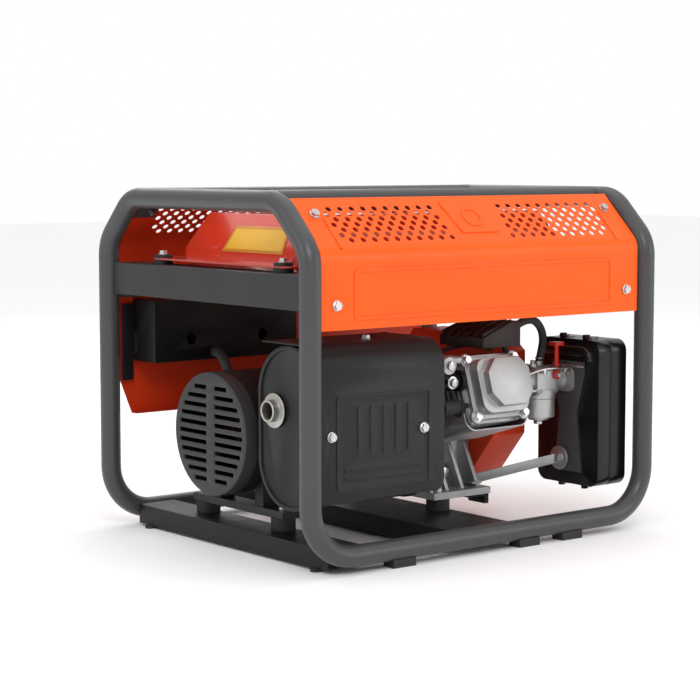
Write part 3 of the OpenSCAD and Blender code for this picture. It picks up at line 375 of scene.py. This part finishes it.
def moulded_plastic(name, colour, low=0.26, high=0.42, grain=700.0):
    """Injection-moulded plastic with a fine spark texture."""
    made = Finish(name, colour, low)
    made.shader.inputs["Specular IOR Level"].default_value = 0.32
    made.rounded_edges(0.0012)
    made.tint(made.remap(made.noise(22, 5), 0.4, 0.72, 0, 0.5), tuple(c * 1.5 + 0.002 for c in colour))
    made.worn_edges(0.0010, 0.3, tuple(min(1, c * 2 + 0.03) for c in colour))
    made.gloss(made.noise(45, 5), low, high)
    made.relief(made.noise(grain, 3), 0.14, 0.0003)
    return made.done()


def hot_black_paint():
    """Heat-proof matt black on the muffler, greyed and slightly rusty in patches."""
    made = Finish("hot_black_paint", (0.004, 0.004, 0.0043), 0.4)
    made.shader.inputs["Specular IOR Level"].default_value = 0.34
    made.rounded_edges(0.0010)
    made.tint(made.remap(made.noise(12, 7), 0.42, 0.72, 0, 0.55), (0.022, 0.0215, 0.021))
    made.tint(made.remap(made.noise(34, 8), 0.66, 0.78, 0, 0.5), (0.045, 0.026, 0.017))
    made.worn_edges(0.0012, 0.5, (0.12, 0.10, 0.09))
    made.gloss(made.noise(50, 6), 0.26, 0.5)
    made.relief(made.noise(300, 4), 0.16, 0.0004)
    return made.done()


def bare_steel(name="bare_steel"):
    """Uncoated pressed steel, warmed brown by heat."""
    made = Finish(name, (0.50, 0.49, 0.47), 0.4, metallic=1.0)
    made.rounded_edges(0.0008)
    made.tint(made.remap(made.noise(24, 7), 0.40, 0.72, 0, 0.7), (0.33, 0.27, 0.21))
    made.gloss(made.noise(90, 5), 0.3, 0.55)
    made.relief(made.noise(400, 4), 0.2, 0.0004)
    return made.done()


def amber_plate(name="amber_plate", colour=(0.60, 0.22, 0.012)):
    """Blank amber decal plate with a thin clear face."""
    made = Finish(name, colour, 0.3, coat=0.4, coat_roughness=0.1)
    made.tint(made.remap(made.noise(12, 5), 0.4, 0.7, 0, 0.4), (0.62, 0.28, 0.015))
    made.tint(made.remap(made.noise(240, 4), 0.66, 0.74, 0, 0.3), (0.35, 0.16, 0.02))
    made.gloss(made.noise(60, 5), 0.22, 0.42)
    return made.done()


def laminated_steel():
    """Edges of stacked core plates under black varnish."""
    made = Finish("laminated_steel", (0.020, 0.020, 0.021), 0.4, metallic=0.4)
    made.tint(made.remap(made.noise(20, 6), 0.42, 0.72, 0, 0.6), (0.045, 0.042, 0.038))
    plates = made.add("ShaderNodeTexWave", bands_direction="X")
    plates.inputs["Scale"].default_value = 260
    made.link(made.where, plates.inputs["Vector"])
    made.gloss(made.noise(50, 5), 0.35, 0.6)
    made.relief(plates.outputs["Fac"], 0.5, 0.0004)
    return made.done()


def wound_copper():
    """Enamelled copper turns seen edge on."""
    made = Finish("wound_copper", (0.50, 0.16, 0.05), 0.3, metallic=0.85, coat=0.5)
    made.tint(made.remap(made.noise(60, 5), 0.4, 0.7, 0, 0.6), (0.30, 0.09, 0.03))
    turns = made.noise(30, 2, where=made.stretched((40, 6, 6)))
    made.gloss(turns, 0.2, 0.45)
    made.relief(turns, 0.6, 0.0008)
    return made.done()


def filter_paper():
    """Pleated grey filter medium with a fibrous face."""
    made = Finish("filter_paper", (0.20, 0.19, 0.16), 0.85)
    made.tint(made.remap(made.noise(260, 6), 0.45, 0.65, 0, 0.7), (0.11, 0.105, 0.09))
    pleats = made.add("ShaderNodeTexWave", bands_direction="Y")
    pleats.inputs["Scale"].default_value = 60
    made.link(made.where, pleats.inputs["Vector"])
    made.relief(pleats.outputs["Fac"], 0.8, 0.002)
    return made.done()


def meter_glass():
    made = Finish("meter_glass", (0.03, 0.032, 0.035), 0.12, coat=1.0, coat_roughness=0.03)
    made.tint(made.remap(made.noise(120, 5), 0.55, 0.75, 0, 0.3), (0.07, 0.07, 0.075))
    made.gloss(made.noise(70, 4), 0.08, 0.2)
    return made.done()


# ---- dressing the CAD nodes ----


def dress(material, *names):
    """Gives CAD nodes a finish in every one of their material slots."""
    for name in names:
        mesh = NODES[name].data
        if not mesh.materials:
            mesh.materials.append(material)
        for i in range(len(mesh.materials)):
            mesh.materials[i] = material


PAINT = frame_paint()
BLACK_SHEET = black_sheet_paint("black_sheet", 0.006, 0.34, 0.52)
DARK_BAR = black_sheet_paint("dark_bar", 0.026, 0.36, 0.54)
PANEL_ORANGE = panel_paint("panel_orange", (0.94, 0.112, 0.007), (0.90, 0.092, 0.005))
# A darker copy of the orange panel paint for the far panel. Its deeper red is painted shade that stands
# in for the shadow inside the frame; it is not a second paint colour.
PANEL_ORANGE_IN_PAINTED_SHADE = panel_paint("panel_orange_painted_shade", (0.60, 0.036, 0.007), (0.50, 0.034, 0.010))
BLOWER_RED = panel_paint("blower_red", (0.72, 0.062, 0.018), (0.62, 0.046, 0.013))
TANK_RED = tank_paint()
CAST = cast_aluminium("cast_aluminium", (0.40, 0.405, 0.415))
CAST_GREY = cast_aluminium("cast_grey", (0.27, 0.275, 0.285), 1100)
DARK_CAST = black_sheet_paint("dark_cast", 0.009, 0.4, 0.58)
COVER_GREY = black_sheet_paint("cover_grey", 0.034, 0.38, 0.52)
# A lighter copy of the cast aluminium, with a tone of 0.50 against 0.40. The extra lightness is painted
# light that lifts the crankcase and engine castings out of the shade falling on them.
CAST_PAINTED_LIGHT = cast_aluminium("cast_painted_light", (0.50, 0.50, 0.50), 1300)
ZINC = bright_zinc()
STEEL = turned_steel()
RUBBER = soft_rubber("soft_rubber", 0.016)
HOSE_RUBBER = soft_rubber("hose_rubber", 0.022)
BLACK_PLASTIC = moulded_plastic("black_plastic", (0.003, 0.003, 0.0033), 0.16, 0.28)
PAD_PLASTIC = moulded_plastic("pad_plastic", (0.046, 0.046, 0.047), 0.46, 0.6)
FACE_PLASTIC = moulded_plastic("face_plastic", (0.030, 0.030, 0.032), 0.4, 0.55)
LID_PLASTIC = moulded_plastic("lid_plastic", (0.022, 0.022, 0.023), 0.34, 0.5)
BROWN_PLASTIC = moulded_plastic("brown_plastic", (0.024, 0.018, 0.015), 0.36, 0.5)
RED_PLASTIC = moulded_plastic("red_plastic", (0.42, 0.018, 0.012))
HOT_BLACK = hot_black_paint()
SHIELD_BLACK = black_sheet_paint("shield_black", 0.013, 0.36, 0.5)
HOT_STEEL = bare_steel()
AMBER = amber_plate()
COPPER = wound_copper()
LAMINATED = laminated_steel()
AMBER_FACE = amber_plate("amber_face", (0.82, 0.46, 0.03))
FILTER_PAPER = filter_paper()
METER_GLASS = meter_glass()


def dress_nodes():
    dress(PAINT, "frame_left_half", "frame_right_half", "top_rails", "panel_tabs")
    dress(DARK_BAR, "crossbars", "foot_bar")
    dress(BLACK_SHEET, "cross_channels", "control_box")
    dress(RUBBER, "rubber_feet", "rubber_mounts", "tank_rubbers", "spark_plug")
    dress(PANEL_ORANGE, "rear_panel")
    # The far panel wears the darkened copy of the orange paint as painted shade.
    dress(PANEL_ORANGE_IN_PAINTED_SHADE, "front_panel")
    dress(BLOWER_RED, "blower_housing", "recoil_cover")
    dress(TANK_RED, "tank_upper_shell", "tank_lower_shell")
    dress(ZINC, "flange_bolts", "ground_terminal", "clips_top", "clips_bottom", "filter_stay")
    dress(AMBER, "tank_plate")
    # The engine castings take the lightened copy of the cast finish, which is painted light.
    dress(CAST_PAINTED_LIGHT, "crankcase", "cylinder_head", "piston")
    dress(CAST_PAINTED_LIGHT, "valve_cover", "cylinder_shroud", "carburettor", "float_bowl")
    dress(CAST_GREY, "alternator_flange", "flywheel", "fuel_valve")
    dress(COVER_GREY, "alternator_cover")
    dress(DARK_CAST, "alternator_bell")
    dress(STEEL, "crankshaft", "throttle_lever")
    dress(LAMINATED, "stator")
    dress(COPPER, "rotor")
    dress(BLACK_PLASTIC, "filter_base", "filter_cover", "fuel_cap", "fuel_valve_lever", "oil_dipstick")
    dress(FACE_PLASTIC, "control_face", "sockets")
    dress(LID_PLASTIC, "socket_lid_left", "socket_lid_right", "recoil_handle", "breaker_button")
    dress(RED_PLASTIC, "engine_switch", "choke_lever")
    dress(METER_GLASS, "voltmeter")
    dress(BROWN_PLASTIC, "air_deflector")
    dress(FILTER_PAPER, "filter_element")
    dress(HOSE_RUBBER, "fuel_hose")
    dress(HOT_BLACK, "muffler", "exhaust_pipe")
    dress(SHIELD_BLACK, "heat_shield")


# ---- modelling helpers ----


def only(piece):
    """Selects one object alone and makes it the active one."""
    bpy.ops.object.select_all(action="DESELECT")
    piece.select_set(True)
    bpy.context.view_layer.objects.active = piece


def body_of_node(name):
    return NODES[name]["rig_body"]


def settle(piece, name, material, body):
    """Puts a piece's place into its mesh, names it, paints it and lets it ride on a body."""
    only(piece)
    bpy.ops.object.transform_apply(location=True, rotation=True, scale=True)
    piece.name = name
    piece.data.name = name
    piece.data.materials.clear()
    piece.data.materials.append(material)
    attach(piece, body)
    bpy.ops.object.select_all(action="DESELECT")
    return piece


def smooth(piece, angle=35):
    only(piece)
    bpy.ops.object.shade_smooth_by_angle(angle=radians(angle))


def softened(node, width, material, segments=3, angle=25):
    """A copy of a CAD node with its sharp edges rolled over, shown in the node's place."""
    piece = bpy.data.objects.new(node + "_skin", NODES[node].data.copy())
    bpy.context.scene.collection.objects.link(piece)
    only(piece)
    bpy.ops.object.mode_set(mode="EDIT")
    bpy.ops.mesh.select_all(action="SELECT")
    bpy.ops.mesh.remove_doubles(threshold=2e-5)
    bpy.ops.mesh.dissolve_limited(angle_limit=radians(0.5))
    bpy.ops.object.mode_set(mode="OBJECT")
    rounding = piece.modifiers.new("rounding", "BEVEL")
    rounding.width = width
    rounding.segments = segments
    rounding.limit_method = "ANGLE"
    rounding.angle_limit = radians(angle)
    rounding.use_clamp_overlap = True
    rounding.miter_outer = "MITER_ARC"
    bpy.ops.object.modifier_apply(modifier="rounding")
    smooth(piece, 40)
    settle(piece, piece.name, material, body_of_node(node))
    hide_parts(node)
    return piece


def wire(name, points, radius, material, body, order=4):
    """A round wire, rod or hose along a smooth line through roughly these points, in metres."""
    bpy.ops.object.select_all(action="DESELECT")
    bpy.ops.curve.primitive_nurbs_path_add()
    curve = bpy.context.object
    spline = curve.data.splines[0]
    if len(points) > len(spline.points):
        spline.points.add(len(points) - len(spline.points))
    extra = len(spline.points) - len(points)
    points = list(points) + [points[-1]] * extra
    for knot, place in zip(spline.points, points):
        knot.co = (*place, 1)
    spline.use_endpoint_u = True
    spline.order_u = order
    spline.resolution_u = 10
    curve.data.bevel_depth = radius
    curve.data.bevel_resolution = 4
    curve.data.use_fill_caps = True
    only(curve)
    bpy.ops.object.convert(target="MESH")
    piece = bpy.context.object
    smooth(piece, 50)
    return settle(piece, name, material, body)


def joined(pieces, name):
    """Joins settled pieces of one finish into one."""
    only(pieces[0])
    for piece in pieces[1:]:
        piece.select_set(True)
    bpy.ops.object.join()
    pieces[0].name = name
    pieces[0].data.name = name
    bpy.ops.object.select_all(action="DESELECT")
    return pieces[0]


def ring(place, heading, major, minor, lumps=0.0, turns=48):
    """A torus across a heading, with a ripple along it as a weld has."""
    bpy.ops.object.select_all(action="DESELECT")
    bpy.ops.mesh.primitive_torus_add(
        major_radius=major, minor_radius=minor, major_segments=turns, minor_segments=8, location=place
    )
    piece = bpy.context.object
    piece.rotation_mode = "QUATERNION"
    piece.rotation_quaternion = Vector(heading).to_track_quat("Z", "Y")
    if lumps:
        for i, vertex in enumerate(piece.data.vertices):
            vertex.co *= 1 + lumps * sin(i // 8 * 2.1) * cos(i // 8 * 0.7)
    smooth(piece, 60)
    return piece


def box_at(low, high, edge, segments=2):
    """A block between two corners with rounded edges."""
    bpy.ops.object.select_all(action="DESELECT")
    low, high = Vector(low), Vector(high)
    bpy.ops.mesh.primitive_cube_add(size=1, location=(low + high) / 2, scale=high - low)
    piece = bpy.context.object
    bpy.ops.object.transform_apply(location=True, rotation=True, scale=True)
    bpy.ops.object.mode_set(mode="EDIT")
    bpy.ops.mesh.select_all(action="SELECT")
    bpy.ops.mesh.bevel(offset=edge, segments=segments, affect="EDGES")
    bpy.ops.object.mode_set(mode="OBJECT")
    smooth(piece, 40)
    return piece


def drum_at(place, heading, radius, depth, edge=0.0006, sides=40):
    """A round disc or plug across a heading, with rounded rims."""
    bpy.ops.object.select_all(action="DESELECT")
    bpy.ops.mesh.primitive_cylinder_add(vertices=sides, radius=radius, depth=depth, location=place)
    piece = bpy.context.object
    piece.rotation_mode = "QUATERNION"
    piece.rotation_quaternion = Vector(heading).to_track_quat("Z", "Y")
    rounding = piece.modifiers.new("rounding", "BEVEL")
    rounding.width = edge
    rounding.segments = 2
    rounding.limit_method = "ANGLE"
    rounding.angle_limit = radians(50)
    only(piece)
    bpy.ops.object.modifier_apply(modifier="rounding")
    smooth(piece, 40)
    return piece


# ---- pieces ----


def mm_vector(x, y, z):
    return Vector((x, y, z)) * MM


def soften_castings_and_pressings():
    softened("tank_upper_shell", 0.009, TANK_RED, 5, 12)
    softened("tank_lower_shell", 0.009, TANK_RED, 5, 12)
    softened("valve_cover", 0.0022, CAST_PAINTED_LIGHT)
    softened("filter_cover", 0.0025, BLACK_PLASTIC, 3)
    base = softened("filter_base", 0.0012, BLACK_PLASTIC)
    pad_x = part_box("filter_base")[0].x + PAD_INSET
    recolour_faces(base, PAD_PLASTIC,
                   lambda face: abs(face.center.x - pad_x) < 0.0012 and face.normal.x < -0.5)
    softened("heat_shield", 0.0005, SHIELD_BLACK, 2)
    drum = softened("muffler", 0.0015, HOT_BLACK)
    outlet_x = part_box("muffler")[0].x + OUTLET_DEPTH
    recolour_faces(drum, HOT_STEEL, lambda face: face.center.x < outlet_x)
    softened("carburettor", 0.0010, CAST_PAINTED_LIGHT)
    softened("float_bowl", 0.0012, CAST_PAINTED_LIGHT)
    softened("air_deflector", 0.0016, BROWN_PLASTIC)
    softened("blower_housing", 0.0030, BLOWER_RED, 4)
    softened("recoil_cover", 0.0020, BLOWER_RED)
    softened("alternator_cover", 0.0010, COVER_GREY)
    softened("fuel_cap", 0.0012, BLACK_PLASTIC)
    softened("control_box", 0.0020, BLACK_SHEET)
    softened("choke_lever", 0.0010, RED_PLASTIC)


def recolour_faces(piece, material, wanted):
    """Gives the faces that wanted() picks a second finish."""
    piece.data.materials.append(material)
    last = len(piece.data.materials) - 1
    for face in piece.data.polygons:
        if wanted(face):
            face.material_index = last


def hex_head(place, heading, across=0.011, height=0.005):
    bpy.ops.object.select_all(action="DESELECT")
    bpy.ops.mesh.primitive_cylinder_add(vertices=6, radius=across / 1.732, depth=height, location=place)
    piece = bpy.context.object
    piece.rotation_mode = "QUATERNION"
    piece.rotation_quaternion = Vector(heading).to_track_quat("Z", "Y")
    bpy.ops.object.mode_set(mode="EDIT")
    bpy.ops.mesh.select_all(action="SELECT")
    bpy.ops.mesh.bevel(offset=height * 0.12, segments=2, affect="EDGES")
    bpy.ops.object.mode_set(mode="OBJECT")
    smooth(piece, 30)
    return piece


def bar_between(start, end, width, thickness, up=(0, 0, 1)):
    """A flat strap from one point to another, its width along up."""
    start, end = Vector(start), Vector(end)
    along = (end - start).normalized()
    side = Vector(up).cross(along).normalized()
    piece = box_at((-(end - start).length / 2, -thickness / 2, -width / 2),
                   ((end - start).length / 2, thickness / 2, width / 2), thickness * 0.3)
    turn = Matrix((along, side, along.cross(side))).transposed()
    piece.matrix_world = Matrix.Translation((start + end) / 2) @ turn.to_4x4()
    return piece


def finish_group(parts, name, material, body):
    for i, part in enumerate(parts):
        settle(part, f"{name}_{i}", material, body)
    return joined(parts, name)


def air_cleaner_stay():
    """Flat strap from the crankcase foot to the air cleaner, with a round tab and its bolt."""
    low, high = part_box("filter_stay")
    tab = Vector((high.x - 0.0045, low.y + 0.013, high.z - 0.013))
    foot = Vector((low.x + 0.006, high.y - 0.012, low.z + 0.008))
    parts = [
        bar_between(foot, tab - mm_vector(3, 0, 0), 0.013, 0.0025),
        drum_at(tab, (1, 0, 0), 0.0165, 0.003, 0.0006),
        drum_at(tab - mm_vector(2.4, 0, 0), (1, 0, 0), 0.0085, 0.002),
        hex_head(tab - mm_vector(5, 0, 0), (1, 0, 0)),
        box_at(foot - mm_vector(9, 12, 5), foot + mm_vector(9, 10, -1.5), 0.0008),
    ]
    strap = finish_group(parts, "stay_strap", CAST, "machine")
    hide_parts("filter_stay")


def breather_hose():
    """Short rubber hose that arches from the engine to the intake."""
    low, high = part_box("air_deflector")
    carb_low, carb_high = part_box("carburettor")
    end = Vector((carb_high.x - 0.034, carb_low.y + 0.038, carb_high.z - 0.005))
    start = Vector((high.x - 0.004, low.y + 0.024, high.z - 0.022))
    path = [start, start + mm_vector(10, -8, 12), start + mm_vector(28, -14, 22),
            start + mm_vector(46, -16, 14),
            end + mm_vector(5, -6, 32), end + mm_vector(2, -1, 12), end]
    wire("breather_hose", path, HOSE_RADIUS, HOSE_RUBBER, "machine")
    rings = [ring(end + mm_vector(0.5, -0.5, 6), (0, 0, 1), 0.0058, 0.0009),
             ring(start + mm_vector(5, -4, 6), (1, -0.8, 1.2), 0.0058, 0.0009)]
    finish_group(rings, "breather_clamps", ZINC, "machine")


def spark_lead():
    """Ignition lead from the plug's boot round to the blower housing."""
    low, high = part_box("spark_plug")
    start = Vector((low.x + 0.004, (low.y + high.y) / 2, (low.z + high.z) / 2))
    path = [start, start + mm_vector(-12, 1, 2), start + mm_vector(-16, 12, 14),
            start + mm_vector(-6, 34, 44),
            start + mm_vector(26, 50, 66), start + mm_vector(66, 58, 74), start + mm_vector(110, 60, 76),
            start + mm_vector(141, 62, 66)]
    wire("spark_lead", path, LEAD_RADIUS, HOSE_RUBBER, "machine")


def wiring_loom():
    """Conduit from the alternator's bell up to the control box, with a grommet at the bell."""
    box_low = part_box("control_box")[0]
    bell_low, bell_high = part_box("alternator_bell")
    end = Vector((-0.150, box_low.y + 0.012, box_low.z + 0.030))
    start = Vector((bell_high.x - 0.035, (bell_low.y + bell_high.y) / 2 + 0.035, bell_high.z - 0.012))
    path = [start, start + mm_vector(1, 6, 16), start + mm_vector(6, 26, 26), end + mm_vector(-6, -26, 8),
            end + mm_vector(-1, -8, 6), end]
    wire("wiring_loom", path, LOOM_RADIUS, HOSE_RUBBER, "machine")
    rings = [ring(start + mm_vector(0, 0, 2), (0, 0.2, 1), 0.0082, 0.0022),
             ring(start + mm_vector(0, 2, 7), (0, 0.3, 1), 0.0072, 0.0016)]
    finish_group(rings, "loom_grommet", RUBBER, "machine")


def taper_top(piece, above, outside, push):
    """Leans the upper outer edge of a block inwards, so that the block becomes a gusset."""
    for vertex in piece.data.vertices:
        if vertex.co.z > above and vertex.co.y < outside:
            vertex.co.y += push


def crankcase_ribs():
    """Cast gussets between the crankcase wall and its foot, with a drain bolt."""
    foot_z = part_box("crankcase")[0].z + 0.009
    parts = []
    for x in RIB_PLACES:
        rib = box_at((x - RIB_HALF, CASE_WALL_Y - RIB_DEPTH, foot_z - 0.001),
                     (x + RIB_HALF, CASE_WALL_Y + 0.003, foot_z + RIB_HEIGHT), 0.0008)
        taper_top(rib, foot_z + RIB_HEIGHT / 2, CASE_WALL_Y - RIB_DEPTH / 2, RIB_TAPER)
        parts.append(rib)
    parts.append(box_at((0.022, CASE_WALL_Y - 0.004, foot_z + 0.060),
                        (0.124, CASE_WALL_Y + 0.004, foot_z + 0.067), 0.0015))
    finish_group(parts, "crankcase_ribs", CAST_PAINTED_LIGHT, "machine")
    bolts = [drum_at((0.072, CASE_WALL_Y - 0.003, foot_z + 0.020), (0, 1, 0), 0.011, 0.008, 0.0012),
             hex_head((0.072, CASE_WALL_Y - 0.011, foot_z + 0.020), (0, 1, 0), 0.014, 0.009)]
    finish_group(bolts, "drain_bolt", ZINC, "machine")


def exhaust_flange():
    """Cast plate above the exhaust pipe with its nut, and a nut and washer on the pipe's flange."""
    low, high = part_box("exhaust_pipe")
    plate = box_at((high.x - 0.066, low.y - 0.004, high.z + 0.010),
                   (high.x - 0.010, low.y + 0.026, high.z + 0.020), 0.0035, 3)
    lug = drum_at((high.x - 0.034, low.y - 0.002, high.z + 0.009), (0, 1, 0), 0.012, 0.006, 0.0012)
    finish_group([plate, lug], "exhaust_flange", CAST_PAINTED_LIGHT, "machine")
    centre = Vector((high.x - 0.026, low.y - 0.001, high.z - 0.014))
    nuts = [drum_at(centre, (0, 1, 0), 0.0085, 0.002, 0.0004),
            hex_head(centre - mm_vector(0, 3, 0), (0, 1, 0)),
            hex_head((high.x - 0.034, low.y - 0.007, high.z + 0.009), (0, 1, 0))]
    finish_group(nuts, "exhaust_nuts", ZINC, "machine")


def engine_mount_plate():
    """Bent black plate under the near foot of the crankcase."""
    low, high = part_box("crankcase")
    near = FOOT_NEAR_Y
    under = low.z - 0.0005
    plate = box_at((high.x - 0.034, near, under - 0.005), (high.x + 0.004, near + 0.034, under), 0.001)
    wing = box_at((high.x - 0.004, near, under - 0.016),
                  (high.x + 0.004, near + 0.034, under - 0.001), 0.001)
    finish_group([plate, wing], "engine_mount_plate", DARK_CAST, "machine")


def carburettor_fittings():
    """Idle screw with its spring, bowl bolt, and the stop rod across the top."""
    low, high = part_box("carburettor")
    bowl_low, bowl_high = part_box("float_bowl")
    near = low.y
    bowl_bolt = (BOWL_X, (bowl_low.y + bowl_high.y) / 2, bowl_low.z + 0.0015)
    parts = [hex_head(bowl_bolt, (0, 0, 1), 0.012, 0.005)]
    for x in (0.158, 0.198):
        parts.append(drum_at((x, near + 0.004, high.z - 0.014), (0, 1, 0), 0.0034, 0.006, 0.0006, 20))
    for turn in range(SPRING_TURNS):
        coil = (0.150 + turn * SPRING_PITCH, near + 0.012, high.z - 0.040)
        parts.append(ring(coil, (1, 0, 0), 0.0036, 0.0006, turns=20))
    parts.append(drum_at((0.1545, near + 0.012, high.z - 0.040), (1, 0, 0), 0.0021, 0.022, 0.0004, 16))
    finish_group(parts, "carburettor_fittings", ZINC, "machine")
    wire("stop_rod", [(0.131, near + 0.005, high.z - 0.016), (0.150, near + 0.003, high.z - 0.010),
                      (0.175, near + 0.002, high.z - 0.010), (0.196, near + 0.002, high.z - 0.011),
                      (0.207, near + 0.007, high.z - 0.020)], ROD_RADIUS, ZINC, "machine")


def air_cleaner_strip():
    """Bright strip across the top of the grey pad."""
    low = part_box("filter_base")[0]
    pad_x = low.x + PAD_INSET
    strip = box_at((pad_x - 0.0012, low.y + 0.026, 0.2200),
                   (pad_x + 0.0005, low.y + 0.084, 0.2235), 0.0004)
    settle(strip, "pad_strip", ZINC, "machine")


def rim_of_plate():
    """A rim round the blank plate on the tank."""
    plate = softened("tank_plate", 0.0004, AMBER, 2)
    only(plate)
    largest = max(plate.data.polygons,
                  key=lambda face: face.area if face.normal.x < 0 or face.normal.z > 0 else 0)
    for face in plate.data.polygons:
        face.select = face.index == largest.index
    bpy.ops.object.mode_set(mode="EDIT")
    bpy.ops.mesh.select_mode(type="FACE")
    bpy.ops.mesh.inset(thickness=0.004, depth=-0.0002)
    bpy.ops.object.mode_set(mode="OBJECT")
    plate.data.materials.append(AMBER_FACE)
    for face in plate.data.polygons:
        face.material_index = 1 if face.select else 0
    bpy.ops.object.select_all(action="DESELECT")


make_camera()
make_studio()
make_floor()
dress_nodes()
soften_castings_and_pressings()
rim_of_plate()
air_cleaner_stay()
breather_hose()
spark_lead()
wiring_loom()
crankcase_ribs()
exhaust_flange()
engine_mount_plate()
carburettor_fittings()
air_cleaner_strip()
